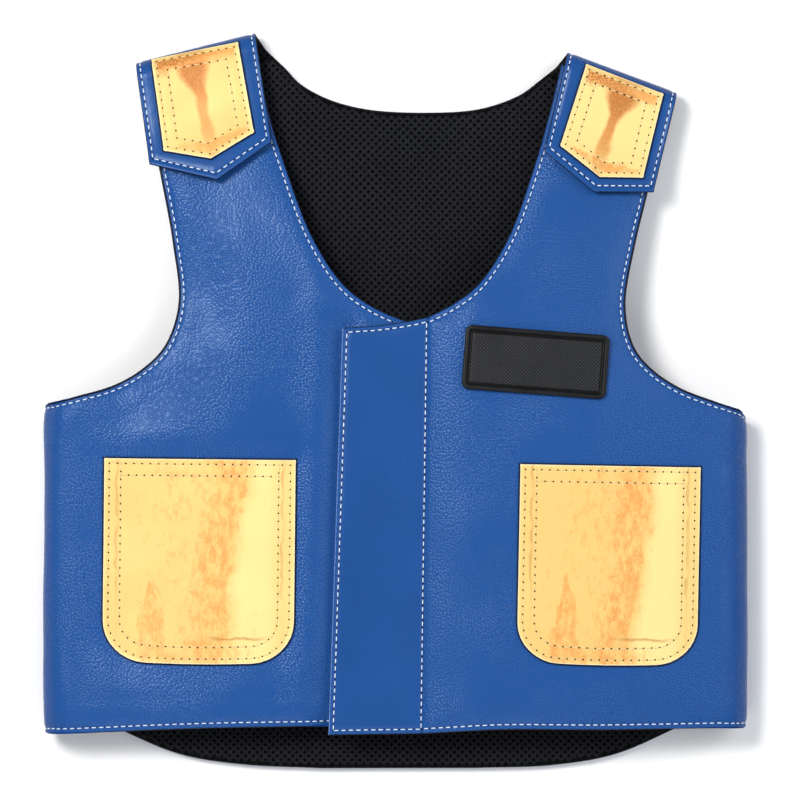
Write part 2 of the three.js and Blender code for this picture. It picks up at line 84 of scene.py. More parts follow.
SHOULDER_HEIGHT = SHOULDER_FOLD_HEIGHT - TAB_THICKNESS - PIECE_GAP
CROWN_FADE = (-30.0, 100.0)
LAP_FADE = (30.0, 150.0)
FRONT_MIDDLE_X = 20.0
HEM_DIP = 0.6
UNDERARM_DIP = {"right": 4.1, "left": 5.5}
NECK_FLARE = {"below": 5.5, "seam": 18.0}
UNDERARM_CORNER = {"right": 1.0, "left": 4.2}

# Outlines seen from above, as places (x, y)
HEM = {
    "right": [(-232, -238.8), (-140.8, -234.7), (-48.6, -233.3), (14, -232.6)],
    "left": [(232, -234.8), (150, -235.6), (75.2, -235.4), (19, -238.4)],
}
ARMHOLE = {
    "right": [
        (-232, 2.6), (-202, 11.6), (-181.1, 23.8), (-165.6, 40),
        (-156, 70), (-160.4, 114), (-168.8, 160), (-184, 234),
    ],
    "left": [
        (232, -1.2), (204.8, 9.2), (184, 23), (171, 39.4),
        (165.2, 68), (172.4, 112), (180.4, 144.7), (198, 214.5),
    ],
}
NECKLINE = {
    "right": [
        (17, 53.8), (-12.6, 65.6), (-36, 82.2), (-58.7, 115.9),
        (-78.4, 166.6), (-91.4, 208), (-100, 254.5),
    ],
    "left": [
        (23, 60.1), (40, 68.8), (58.6, 82.8), (80.3, 115.9),
        (99, 166.5), (110, 204), (119.6, 242.6),
    ],
}
FLAP_TOP = [(-38, 52.3), (-13.7, 54), (6, 56.6), (23, 60.1)]
FLAP_FOOT = [(-48, -239.3), (19, -238.4)]
TAIL = {
    "right": [(-54.4, -265.7), (-112, -262.8), (-158, -254.9), (-SIDE_SEAM_X, -232.5)],
    "left": [(60, -265.5), (112.7, -263.5), (158.8, -255.6), (SIDE_SEAM_X, -233)],
}
BACK_ARMHOLE = {
    "right": [(-SIDE_SEAM_X, -2), (-178, 17), (-157, 42), (-150, 74), (-160, 142)],
    "left": [(SIDE_SEAM_X, -4), (180, 16), (162, 42), (158, 74), (172, 132)],
}
BACK_NECK = {
    "right": [(-70, 230.3), (-48.6, 218.4), (-16, 210.4)],
    "left": [(90, 221.4), (66.6, 212.6), (43.6, 209.2)],
}
TAB = {
    "fold inner": {"right": (-101.2, 265.7), "left": (124.2, 252)},
    "fold outer": {"right": (-187.6, 244.1), "left": (203.4, 222.5)},
    "inner corner": {"right": (-88.9, 185.8), "left": (106.9, 179.3)},
    "tip": {"right": (-127.8, 158.4), "left": (142.2, 149.8)},
    "outer corner": {"right": (-176.8, 169.9), "left": (185.4, 149.8)},
}
SHOULDER_PATCH = {
    "fold inner": {"right": (-113.4, 257.4), "left": (137.2, 241.6)},
    "fold outer": {"right": (-175.3, 244.8), "left": (192.4, 220.3)},
    "inner corner": {"right": (-101.9, 193), "left": (118.6, 183.5)},
    "tip": {"right": (-132.5, 174.2), "left": (146.7, 160.9)},
    "outer corner": {"right": (-166.3, 180), "left": (177.7, 160.6)},
}
CHEST_PATCH = {
    "right": {"centre": (-140.9, -115.1), "width": 137, "height": 146.6, "corner": 30, "tilt": -0.6},
    "left": {"centre": (152.6, -117.7), "width": 129, "height": 142.4, "corner": 29, "tilt": -1.1},
}
PATCH_SAG = 2.5
BADGE = {"centre": (100.3, 27.9), "width": 103.5, "height": 46, "corner": 5, "tilt": -4.4}
BADGE_FIELD_THICKNESS = 2.2
BADGE_RIM_WIDTH = 3.6
BADGE_RIM_RISE = 1.0
BADGE_RIM_TOP = 2.7
BADGE_CHANNEL = {"depth": 1.1, "inset": 4.4, "width": 0.75}
BADGE_ROUNDING = {"face": 1.1, "underside": 0.4}

# Soft shapes of the padding, with fades as (start, end)
SIDE_HOLLOW = {"depth": 1.8, "angle": 30.0, "width": 24.0}
SIDE_EASE = 2.5
SIDE_EASE_FADE = (BEND_START_X - 27.0, BEND_START_X + 6.0)
SIDE_EASE_END = (238.0, 262.0)
SIDE_SEAM_ROUNDING = 2.2
UNDERSIDE_FADE = (0.2, 0.8)
ARM_LEAN = {"right": 0.2, "left": 0.07}
ARM_LEAN_REACH = (18.0, 32.0, 54.0)
ARM_LEAN_STEP = 0.5
ARM_LEAN_FROM_STRAP = (75.0, 130.0)
ARM_LEAN_TO_SIDE = (190.0, BEND_START_X)
SEAM_PILLOW = {"height": 3.0, "away": 32.0, "width": 22.0}
PATCH_PRESS_SHARE = {"right": 1.0, "left": 0.45}
PATCH_PRESS_FADE = (-6.0, 22.0)
FLAP_VALLEY = {"depth": 3.8, "width": 11.0}
UNDER_FLAP_HILL_FADE = (42.0, 85.0)
UNDER_FLAP_GROOVE_FADE = (20.0, 30.0)
FRONT_HILLS = {"length": 62.0, "seed": 3.1, "fade": (4.0, 34.0)}
FLAP_LIFT_HILLS = {"length": 45.0, "seed": 8.2, "width": 14.0, "share": 0.4}
FLAP_RIPPLE = {"height": 0.35, "length": 38.0, "seed": 5.5, "fade": (2.0, 16.0)}
STRAP_RIPPLE = {"height": 0.5, "length": 34.0, "seed": 4.4, "fade": (8.0, 30.0)}
TAB_LIFT_FADE = (30.0, 85.0)
PATCH_WRINKLE = {"height": 0.15, "length": 16.0, "seed": 6.6, "fade": (2.0, 8.0)}
MESH_SWAY = {"reach": 1.5, "fade": (1.0, 30.0)}
# Hills that the mesh sways by, along X and along Y
MESH_SWAY_HILLS = ({"length": 48.0, "seed": 2.4}, {"length": 48.0, "seed": 9.7})
BACK_ROLL = 1.6
BACK_GROOVE = {"depth": 0.7, "width": 1.5}
BACK_RIM = 0.2

# How pressure fills the fronts: what the seams, the flap and the side hold still, and how far it is evened
SEAM_HOLD = (5.0, 16.0)
FLAP_HOLD = (40.0, 70.0)
SIDE_HOLD = (BEND_START_X + 30.0, BEND_START_X + 60.0)
PRESSURE_FRAMES = 20
CLOTH = {
    "quality": 5,
    "mass": 0.4,
    "tension_stiffness": 40,
    "compression_stiffness": 40,
    "shear_stiffness": 20,
    "bending_stiffness": 4,
    "uniform_pressure_force": 4,
}
# Rounds of averaging that take the mesh-sized wrinkles out of the filled leather
WRINKLE_SMOOTHING = 10

# Stitching and cut edges
STITCH_INSET = 3.8
FLAP_STITCH_INSET = 3.3
BACK_STITCH_INSET = 6.0
STRAP_SIDE_INSET = 3.2
STRAP_END_INSET = 4.8
STRAP_END_REACH = 2.0
STITCH_PITCH = 5.25
SEAM_STITCH_REACH = 3.4
# Points of an inset outline belong to a seam between these shares of the inset from it
SEAM_BAND = {"clear": 0.95, "front": 1.05, "back": 1.02}
# Points from the start of a strap's side that give its direction, and what its stitches keep from a corner
STRAP_SIDE_LOOK = 5
STRAP_CORNER_GAP = 1
SEAM_STITCH_SHIFT = {"ends": 0.4, "seam": 0.5}
UNDER_FLAP_STITCH_START = {"hem": 44.0, "neckline": 2.0}
FRONT_GROOVE_WIDTH = 1.4
FLAP_GROOVE_WIDTH = 1.3
STRAP_GROOVE_WIDTH = 1.2
FLAP_SEAM_GROOVE = {"share": 1.2, "width": 1.6}
PATCH_ROWS = (3.5, 11.8)
PATCH_ROW_WIDTH = 1.1
SHOULDER_PATCH_ROWS = (PATCH_ROWS[0] - 0.4, PATCH_ROWS[1] - 1.4)
PATCH_PITCH = 5.8
# How far before and after a stitch its line is looked at to turn the stitch
SEAM_LOOK = 0.4
STITCH_LIFT = 0.12
HOLE_LIFT = -0.05
HOLE_HEIGHT_SHARE = 0.4
# Widths of the dark bands at the sewn edges, partly dark edge paint and partly painted shade where the edge
# rolls away from the light
EDGE_PAINT = 0.55
ARM_EDGE_PAINT = 1.5
# Width of the painted highlight along the free edge of the flap, whose rounded edge faces the light
HIGHLIGHTED_EDGE = 0.6
TURNED_IN_WIDTH = 9.0
CUT_EDGE = 1.2
# Outer band of a gold patch that is dark, partly its cut edge and partly painted shadow round the patch
DARK_LIP = 1.0
PALE_LIP = 1.75
# A patch keeps the distance from its edge for its finish as a share of this
EDGE_PLACE_REACH = 20.0
MESH_BORDER = 0.5
PIT_FLOOR_SHARE = 0.8
MESH_EDGE_DROP = 0.8

# How finely the pieces are divided, and the rows of points kept next to their edges
PAD_SPACING = 3.4
BACK_SPACING = 4.5
SHEET_SPACING = 2.6
BADGE_SPACING = 2.0
EDGE_ROWS = (0.25, 0.8, 1.8, 2.8, 3.8, 5.0, 6.8, 9.0, 12.0)
SHEET_ROWS = (0.12, 0.4, 0.75, 1.1, 1.6, 2.4, 3.3, 4.4, 6.0)
BADGE_ROWS = (0.15, 0.5, 1.1, 1.9, 2.7, 3.1, 3.6, 4.1, 4.7, 5.2, 5.7, 6.4)
LINE_STEP = 2.6
SEAM_STEP = 1.5
PATCH_SEAM_STEP = 1.0
BADGE_STEP = 1.2
CURVE_PARTS = 40
ARC_POINTS = 9
FOLD_POINTS = 13
POINTS_AT_ONCE = 1500
# Points of a mesh closer than the first become one, and faces thinner than the second are taken out
MERGE_DISTANCE = 0.02
THIN_FACE = 0.001
# Shares of its own inset that a row keeps from the edge, and of the spacing that the rest keeps from the rows
ROW_CLEARANCE = 0.98
GRID_CLEARANCE = 0.7
# At a sharp corner an outline is moved in by at most its distance over this
CORNER_SHARE = 0.3
# How far the lattice of the lining reaches, as a share of its outline, so that its turned rows cover it
LATTICE_REACH = 1.5
# How close points may come before a flat outline is filled with triangles
CDT_MARGIN = 1e-4
MESH_CDT_MARGIN = 1e-7

# Finishes, with depths in metres, scales for each metre, and ranges as (start, end)
GRAIN = {"stir scale": 260.0, "stir": 0.0005, "pebbles": 490.0}
PEBBLE = {"dome": 0.75, "valley": 0.25, "valley depth": 0.25}
HIDE = {"scale": 17.0, "range": (0.3, 0.7), "weakest grain": 0.45, "shades": (0.9, 1.06)}
LATTICE = {"stir scale": 45.0, "hole": (0.15, 0.65)}
HANDLING = {"fine scale": 900.0, "fine share": 0.25, "mark": (0.4, 0.85)}
# The crease shares darken the creases of the grain as painted shade
PEBBLED_LEATHER = {"depth": 0.00018, "body": 0.93, "crease": 0.62}
SMOOTH_LEATHER = {"depth": 0.00004, "body": 0.8, "crease": 0.88}
# Tint of the shine on the dyed leather
LEATHER_SHINE = (0.68, 0.82, 1.0, 1.0)
# Painted shade: shares of red, green and blue that the leather's colour keeps where it is seen edge-on,
# darkening its steep sides
EDGE_ON_SHADE_SHARES = (0.2, 0.62, 0.75)
EDGE_ON_SHADE_FADE = (0.12, 0.6)
FOIL = {"grit scale": 800.0, "grit": (0.3, 0.7), "worn shade": 0.93, "metal": (0.08, 0.2), "relief": 0.00012}
# Flakes of the foil are longer up and down than across
FLAKES = {"scales": (215.0, 105.0, 105.0), "roughness": 0.74}
# Places on a patch are shares of its width from the left and of its height from below
CHEST_FOIL = {
    "lean": 0.12,
    "wander": 0.16,
    "streak": ((0.3, 0.5), (0.6, 0.68)),
    "scatter": (0.34, 0.24),
    "scatter up": (0.25, 0.6),
    "wedge": 0.26,
    "wedge up": (0.1, 0.5),
    "wedge widths": (0.1, 0.015),
    "wedge end": (0.42, 0.52),
    "foot": (0.45, 0.36),
    "foot up": (0.05, 0.13),
    "flakes": 3.0,
    "flaky": (0.2, 0.95),
    # Where the patch is painted lighter as a painted highlight
    "pale": ((0.6, 0.7), (0.84, 0.95)),
    "bend": 0.05,
    # Creases of the foil, painted darker as their shade
    "side creases": (0.068, 0.935),
    "side crease up": (0.25, 0.45),
    "low crease": 0.125,
    "low crease across": (0.7, 0.16),
    "crease width": 0.008,
    "low crease strength": 0.55,
}
SHOULDER_FOIL = {
    "middle": 0.49,
    "wander": 0.16,
    "widening": (0.55, 0.88),
    "widths": (0.07, 0.19),
    "length": (0.1, 0.4),
    "fold": (0.84, 0.88),
    "rows": (0.4, 0.25),
    "fold end": (0.76, 0.88),
    "tip end": (0.16, 0.28),
    "flakes": 1.5,
    "worn": (0.45, 1.0),
    "grit scale": 980.0,
    # Painted shade in a band at the fold, stronger towards one side
    "brown": (0.4, 0.75),
    "deep": (0.35, 0.75),
    # Painted highlight: the patch on the wearer's left is painted lighter
    "left_highlight": (-0.05, 0.05),
}
PATCH_RIM = (0.08, 0.2)
# Where the field and the channel of the badge lie, as shares of the reach that is kept for an edge
BADGE_FIELD_START = (0.25, 0.28)
BADGE_CHANNEL_BAND = (0.22, 0.035)

# Names of the pieces
FRONT_NAMES = {"right": "padded_front_right", "left": "padded_front_left"}
STRAP_NAMES = {"right": "shoulder_strap_right", "left": "shoulder_strap_left"}
CHEST_GOLD_NAMES = {"right": "gold_chest_patch_right", "left": "gold_chest_patch_left"}
SHOULDER_GOLD_NAMES = {"right": "gold_shoulder_patch_right", "left": "gold_shoulder_patch_left"}
FLAP_NAME = "closing_flap"
BACK_NAME = "padded_back"
LINING_NAME = "mesh_lining"
BADGE_NAME = "rubber_badge"

# Stage, in metres and watts, with the camera's lens and sensor in millimetres
FLOOR_NAME = "studio_floor"
FLOOR_REACH = 5.0
FLOOR_HEIGHT = -0.0002
# Rays from the vest to the floor that are shorter than this pass the floor
FLOOR_CONTACT = 0.004
LIGHTS = {
    "key_light": {"place": (-1.0, 0.78, 2.2), "size": 0.8, "power": 55.0, "colour": (1.0, 0.985, 0.96)},
    "right_fill_light": {"place": (1.8, 0.5, 2.0), "size": 1.8, "power": 30.0, "colour": (0.95, 0.97, 1.0)},
    "low_fill_light": {"place": (-0.2, -1.9, 2.1), "size": 1.8, "power": 24.0, "colour": (0.97, 0.98, 1.0)},
}
CAMERA = {
    "name": "photo_camera",
    "sensor": 36.0,
    "lens": 250.0,
    "reach": 50.0,
    "place": (0.00324, 0.00072, 4.025),
}
HORIZON_LIGHT = (0.36, 0.37, 0.39, 1.0)
OVERHEAD_LIGHT = (0.16, 0.165, 0.17, 1.0)
LIGHT_FADE = (0.1, 0.95)


def screen_colour(red, green, blue):
    """A colour picked on a screen, 0 to 255, as the shader's own values."""
    shares = np.array((red, green, blue)) / 255
    return tuple(np.where(shares <= 0.04045, shares / 12.92, ((shares + 0.055) / 1.055) ** 2.4))


# Curves and outlines


def unit(vector):
    return vector / np.linalg.norm(vector)


def smooth_step(value, start, end):
    share = np.clip((value - start) / (end - start), 0, 1)
    return share * share * (3 - 2 * share)


def bell(distance, width):
    return np.exp(-((distance / width) ** 2))


def rounding(distance, radius):
    """How far a face lies below its full height next to an edge rounded to a radius."""
    inside = np.clip(radius - distance, 0, radius)
    return radius - np.sqrt(radius**2 - inside**2)


def run_lengths(line):
    """Length of a line from its start to each of its points."""
    runs = np.linalg.norm(np.diff(line, axis=0), axis=1)
    return np.concatenate(([0], np.cumsum(runs)))


def places_along(line, lengths, wanted):
    """Places on a line at the wanted lengths from its start."""
    return np.column_stack([np.interp(wanted, lengths, column) for column in line.T])


def even_line(line, step):
    """The same line with its points about a step apart."""
    line = np.asarray(line, dtype=float)
    lengths = run_lengths(line)
    count = max(1, round(lengths[-1] / step))
    return places_along(line, lengths, np.linspace(0, lengths[-1], count + 1))


def curve_through(places, step=LINE_STEP):
    """Even points on a smooth curve through the places."""
    places = np.array(places, dtype=float)
    ends = np.vstack((2 * places[0] - places[1], places, 2 * places[-1] - places[-2]))
    knots = np.sqrt(np.linalg.norm(np.diff(ends, axis=0), axis=1))
    share = np.linspace(0, 1, CURVE_PARTS, endpoint=False)[:, None]
    pieces = []
    for index in range(len(places) - 1):
        before, start, end, after = ends[index : index + 4]
        first, middle, last = knots[index : index + 3]
        leave = (start - before) / first - (end - before) / (first + middle) + (end - start) / middle
        arrive = (end - start) / middle - (after - start) / (middle + last) + (after - end) / last
        leave *= middle
        arrive *= middle
        cube = 2 * start - 2 * end + leave + arrive
        square = -3 * start + 3 * end - 2 * leave - arrive
        pieces.append(start + leave * share + square * share**2 + cube * share**3)
    return even_line(np.vstack([*pieces, places[-1:]]), step)


def joined(lines):
    """One closed outline from lines that follow each other."""
    return np.vstack([line[:-1] for line in lines])


def closed_line(outline):
    """A closed outline as one line that ends where it starts."""
    return np.vstack((outline, outline[:1]))


def signed_area(outline):
    """Area inside a closed outline, below 0 where it runs clockwise."""
    x, y = outline.T
    return (np.dot(x, np.roll(y, -1)) - np.dot(y, np.roll(x, -1))) / 2


def distance_to(points, lines):
    """How far each point is from the nearest of the lines."""
    starts = np.vstack([line[:-1] for line in lines])
    runs = np.vstack([np.diff(line, axis=0) for line in lines])
    squares = np.maximum((runs**2).sum(1), 1e-12)
    nearest = []
    for block in np.array_split(points, max(1, len(points) // POINTS_AT_ONCE)):
        offset = block[:, None] - starts[None]
        share = np.clip((offset * runs).sum(2) / squares, 0, 1)
        gap = offset - share[..., None] * runs
        nearest.append(np.sqrt((gap**2).sum(2)).min(1))
    return np.concatenate(nearest)


def lies_inside(points, outline):
    """Which of the points lie inside a closed outline."""
    x, y = points.T
    result = np.zeros(len(points), dtype=bool)
    for (x1, y1), (x2, y2) in zip(outline, np.roll(outline, -1, axis=0)):
        if y1 == y2:
            continue
        crosses = (y1 > y) != (y2 > y)
        result ^= crosses & (x < (x2 - x1) * (y - y1) / (y2 - y1) + x1)
    return result


def moved_in(outline, distance):
    """A counterclockwise outline moved in by a distance all round."""
    runs = np.roll(outline, -1, axis=0) - outline
    after = np.column_stack((-runs[:, 1], runs[:, 0])) / np.linalg.norm(runs, axis=1)[:, None]
    before = np.roll(after, 1, axis=0)
    bisector = after + before
    bisector /= np.linalg.norm(bisector, axis=1)[:, None]
    reach = np.clip((bisector * after).sum(1), CORNER_SHARE, 1)
    return outline + bisector * (distance / reach)[:, None]


def fill_outline(outline, rows, spacing):
    """Points and triangles inside a counterclockwise outline, with rows of points along its edge."""
    loop = [closed_line(outline)]
    points = [outline]
    for row in rows:
        line = moved_in(outline, row)
        points.append(line[lies_inside(line, outline) & (distance_to(line, loop) > ROW_CLEARANCE * row)])
    low = outline.min(0)
    high = outline.max(0)
    height = spacing * math.sqrt(3) / 2
    grid = []
    for number, y in enumerate(np.arange(low[1], high[1], height)):
        start = low[0] + (number % 2) * spacing / 2
        grid.extend((x, y) for x in np.arange(start, high[0], spacing))
    grid = np.array(grid)
    grid = grid[lies_inside(grid, outline)]
    points.append(grid[distance_to(grid, loop) > rows[-1] + GRID_CLEARANCE * spacing])
    flat = [Vector(point) for point in np.vstack(points)]
    made = delaunay_2d_cdt(flat, [], [list(range(len(outline)))], 1, CDT_MARGIN)
    return np.array([tuple(point) for point in made[0]]), np.array(made[2])


class Side:
    """One half of the vest, with its outline curves and the line that its shoulder folds on."""

    def __init__(self, name, sign):
        self.name = name
        self.sign = sign
        self.fold_inner = np.array(TAB["fold inner"][name])
        self.outward = unit(np.array(TAB["fold outer"][name]) - self.fold_inner)
        self.inward = sign * np.array((self.outward[1], -self.outward[0]))
        self.hem = curve_through(HEM[name])
        self.armhole = curve_through(ARMHOLE[name])
        self.neckline = curve_through(NECKLINE[name])
        self.lap = FLAP_THICKNESS + PIECE_GAP + EDGE_DROP if sign > 0 else 0.0

    def shoulder_place(self, spots):
        """How far along the fold each spot is, and how far from the fold towards the chest."""
        offset = np.atleast_2d(spots) - self.fold_inner
        return np.column_stack((offset @ self.outward, offset @ self.inward))

    def shoulder_spot(self, along, depth):
        return self.fold_inner + np.outer(along, self.outward) + np.outer(depth, self.inward)

    def front_height(self, spots):
        """Height of the outer face of a front before it rolls down to its sewn edges."""
        x, y = spots.T
        depth = self.shoulder_place(spots)[:, 1]
        slope = smooth_step(depth, FOLD_RADIUS, FOLD_RADIUS + SHOULDER_SLOPE_LENGTH)
        across = np.clip((self.sign * x - FRONT_MIDDLE_X) / (BEND_START_X - FRONT_MIDDLE_X), 0, 1)
        crown = CROWN_HEIGHT * np.sin(np.pi * across) ** 2 * (1 - smooth_step(y, *CROWN_FADE))
        lap = self.lap * (1 - smooth_step(across, 0, 1)) * (1 - smooth_step(y, *LAP_FADE))
        return SHOULDER_HEIGHT + (SIDE_HEIGHT - SHOULDER_HEIGHT) * slope + crown + lap

    def armhole_lean(self, spots):
        """How far a front leans down towards its armhole, below the part under the shoulder strap."""
        x, y = spots.T
        depth = self.shoulder_place(spots)[:, 1]
        away = distance_to(spots, [self.armhole])
        edge_x = np.interp(y, self.armhole[:, 1], self.armhole[:, 0])
        away = np.where(self.sign * (x - edge_x) > 0, 0, away)
        start, end, stop = ARM_LEAN_REACH
        steps = np.arange(0, stop, ARM_LEAN_STEP)
        slope = np.minimum(1, steps / start) * np.clip((stop - steps) / (stop - end), 0, 1)
        drop = np.interp(away, steps, np.cumsum(slope[::-1])[::-1] * ARM_LEAN_STEP)
        drop *= smooth_step(depth, *ARM_LEAN_FROM_STRAP)
        drop *= 1 - smooth_step(self.sign * x, *ARM_LEAN_TO_SIDE)
        return ARM_LEAN[self.name] * drop

    def pentagon(self, corners):
        """Places along and from the fold of a five-cornered outline."""
        return {corner: self.shoulder_place(spots[self.name])[0] for corner, spots in corners.items()}


SIDES = {"right": Side("right", -1), "left": Side("left", 1)}


def soft_hills(spots, hills):
    """Slow uneven hills between -1 and 1 over the spots, of a given length and seed."""
    length = hills["length"]
    seed = hills["seed"]
    return np.array([noise.noise(Vector((x / length, y / length, seed))) for x, y in spots])


# Meshes


def closed_shell(outer, inner, triangles, turned):
    """A closed shell between two layers of the same points, and how many faces each layer has.

    Its faces are those of the outer layer, those of the inner layer and then the wall between them.
    """
    count = len(outer)
    faces = triangles[:, ::-1] if turned else triangles
    edges = {edge for face in faces.tolist() for edge in zip(face, face[1:] + face[:1])}
    rim = [edge for edge in edges if edge[::-1] not in edges]
    walls = [[start, start + count, end + count, end] for start, end in rim]
    all_faces = faces.tolist() + (faces[:, ::-1] + count).tolist() + sorted(walls)
    return np.vstack((outer, inner)), all_faces, len(faces)


def keep_places(mesh, name, places):
    """Keeps a place for each point of a mesh, which its finish can follow."""
    layer = mesh.attributes.new(name, "FLOAT_VECTOR", "POINT")
    layer.data.foreach_set("vector", np.ascontiguousarray(places, dtype=np.float32).ravel())


def flat_places(pattern):
    """Places in a flat pattern, in metres, that a grain or a weave can follow."""
    return np.column_stack((pattern * MM, np.zeros(len(pattern))))


def add_object(name, data):
    made = bpy.data.objects.new(name, data)
    bpy.context.collection.objects.link(made)
    return made


def merge_points(build):
    """Joins the points of a mesh that is being built where they meet."""
    bmesh.ops.remove_doubles(build, verts=build.verts, dist=MERGE_DISTANCE * MM)


def make_piece(name, shell, materials, numbers, node, slot, place_name, places):
    """A finished mesh piece at the origin that rides on the vest and stands for the given node.

    The numbers are those of the materials of the outer layer, the inner layer and the wall of its shell.
    The places are those of its outer layer, which has the same points as its inner layer.
    """
    points, faces, count = shell
    outer, inner, wall = numbers
    face_materials = np.full(len(faces), wall)
    face_materials[:count] = outer
    face_materials[count : 2 * count] = inner
    mesh = bpy.data.meshes.new(name)
    mesh.from_pydata((points * MM).tolist(), [], faces)
    keep_places(mesh, place_name, np.vstack((places, places)))
    for material in materials:
        mesh.materials.append(material)
    mesh.polygons.foreach_set("material_index", face_materials.tolist())
    build = bmesh.new()
    build.from_mesh(mesh)
    merge_points(build)
    bmesh.ops.dissolve_degenerate(build, edges=build.edges, dist=THIN_FACE * MM)
    build.to_mesh(mesh)
    build.free()
    mesh.shade_smooth()
    return placed(name, mesh, slot, node)


def placed(name, mesh, slot, *nodes):
    """A finished piece that rides on the vest and stands for the given nodes. Its slot is not used."""
    piece = add_object(name, mesh)
    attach(piece, "root")
    if nodes:
        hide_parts(*nodes)
    return piece


def surface_of(name):
    """The finished surface of a piece, in metres, to lay other pieces on."""
    mesh = bpy.data.objects[name].data
    corners = [vertex.co for vertex in mesh.vertices]
    return BVHTree.FromPolygons(corners, [face.vertices for face in mesh.polygons])


def heights_on(surface, spots):
    """Height of a surface straight below each spot."""
    down = Vector((0, 0, -1))
    heights = []
    for x, y in spots:
        hit = surface.ray_cast(Vector((x * MM, y * MM, 1)), down)
        heights.append(hit[0].z / MM)
    return np.array(heights)


def evened(values, triangles, held, rounds):
    """Values at the points of a sheet, each averaged with its neighbours' unless it is held."""
    starts = triangles.ravel()
    ends = np.roll(triangles, -1, axis=1).ravel()
    count = np.bincount(starts, minlength=len(values)) + np.bincount(ends, minlength=len(values))
    free = (np.asarray(held) < 1.0)[:, None]
    for _ in range(rounds):
        total = np.zeros_like(values)
        np.add.at(total, starts, values[ends])
        np.add.at(total, ends, values[starts])
        mean = total / np.maximum(count, 1)[:, None]
        values = np.where(free, (values + mean) / 2, values)
    return values


def puffed(points, triangles, held, limit):
    """The outer sheet of a pad after pressure from inside has filled it, with its sewn parts held."""
    mesh = bpy.data.meshes.new("pressure_trial")
    mesh.from_pydata((points * MM).tolist(), [], triangles.tolist())
    trial = add_object("pressure_trial", mesh)
    group = trial.vertex_groups.new(name="sewn")
    for index, weight in enumerate(held):
        group.add([index], float(weight), "REPLACE")
    cloth = trial.modifiers.new("Cloth", "CLOTH").settings
    for setting, value in CLOTH.items():
        setattr(cloth, setting, value)
    cloth.vertex_group_mass = "sewn"
    cloth.use_pressure = True
    cloth.effector_weights.gravity = 0
    scene = bpy.context.scene
    for number in range(1, PRESSURE_FRAMES + 1):
        scene.frame_set(number)
    evaluated = trial.evaluated_get(bpy.context.evaluated_depsgraph_get())
    filled = np.empty(len(points) * 3)
    evaluated.data.vertices.foreach_get("co", filled)
    scene.frame_set(1)
    bpy.data.objects.remove(trial)
    bpy.data.meshes.remove(mesh)
    shift = evened(filled.reshape(-1, 3) / MM - points, triangles, held, WRINKLE_SMOOTHING)
    distance = np.maximum(np.linalg.norm(shift, axis=1), 1e-9)
    return points + shift * (limit * np.tanh(distance / limit) / distance)[:, None]


# Shader nodes


def add_node(tree, kind, values=None, **settings):
    """The outputs of a new node, after its settings are made and its inputs linked or set."""
    made = tree.nodes.new(kind)
    for name, value in settings.items():
        setattr(made, name, value)
    for socket, value in (values or {}).items():
        if isinstance(value, bpy.types.NodeSocket):
            tree.links.new(value, made.inputs[socket])
        else:
            made.inputs[socket].default_value = value
    return made.outputs


def tree_of(*values):
    """The node tree that the first socket among the values belongs to."""
    return next(value.id_data for value in values if isinstance(value, bpy.types.NodeSocket))


def math_of(operation, first, second=0.0):
    values = {0: first, 1: second}
    return add_node(tree_of(first, second), "ShaderNodeMath", values, operation=operation)[0]


def ranged(value, low, high, start=0.0, end=1.0):
    """A value between low and high, brought smoothly to the range from start to end."""
    values = {"Value": value, "From Min": low, "From Max": high, "To Min": start, "To Max": end}
    settings = {"interpolation_type": "SMOOTHSTEP"}
    return add_node(tree_of(value), "ShaderNodeMapRange", values, **settings)[0]


def mixed(share, first, second):
    """A colour between two colours."""
    values = {"Factor": share, 6: first, 7: second}
    return add_node(tree_of(share), "ShaderNodeMix", values, data_type="RGBA")[2]


def parts_of(place):
    """The X, Y and Z of a place."""
    return add_node(tree_of(place), "ShaderNodeSeparateXYZ", {0: place})


def noise_of(position, scale, detail=2.0):
    values = {"Vector": position, "Scale": scale, "Detail": detail}
    return add_node(tree_of(position), "ShaderNodeTexNoise", values)


def new_group(name, inputs, outputs):
    """An empty shader group with named sockets, given as name: kind."""
    tree = bpy.data.node_groups.new(name, "ShaderNodeTree")
    for socket, kind in inputs.items():
        tree.interface.new_socket(socket, in_out="INPUT", socket_type="NodeSocket" + kind)
    for socket, kind in outputs.items():
        tree.interface.new_socket(socket, in_out="OUTPUT", socket_type="NodeSocket" + kind)
    return tree, tree.nodes.new("NodeGroupInput").outputs, tree.nodes.new("NodeGroupOutput").inputs


def both_of(first, second):
    return math_of("MULTIPLY", first, second)


def either_of(first, second):
    return math_of("MAXIMUM", first, second)


def about_zero(wave, reach):
    """A wave between 0 and 1 as one about 0 with the given reach."""
    return both_of(math_of("SUBTRACT", wave, 0.5), reach)


def band(value, middle, half_width):
    """1 in the middle of a band and 0 outside it."""
    away = math_of("ABSOLUTE", math_of("SUBTRACT", value, middle))
    return ranged(away, half_width * 0.4, half_width * 1.3, 1.0, 0.0)


def stirred(position, scale, reach):
    """A position that noise moves about."""
    tree = tree_of(position)
    stir = noise_of(position, scale)["Color"]
    shift = add_node(tree, "ShaderNodeVectorMath", {0: stir, "Scale": reach}, operation="SCALE")[0]
    return add_node(tree, "ShaderNodeVectorMath", {0: position, 1: shift}, operation="ADD")[0]


def made_once(build):
    """Keeps what a function builds, by the name that it is given, and hands out the same one after that."""
    made = {}

    def kept(*values):
        name = values[0] if values and isinstance(values[0], str) else build.__name__
        if name not in made:
            made[name] = build(*values)
        return made[name]

    return kept


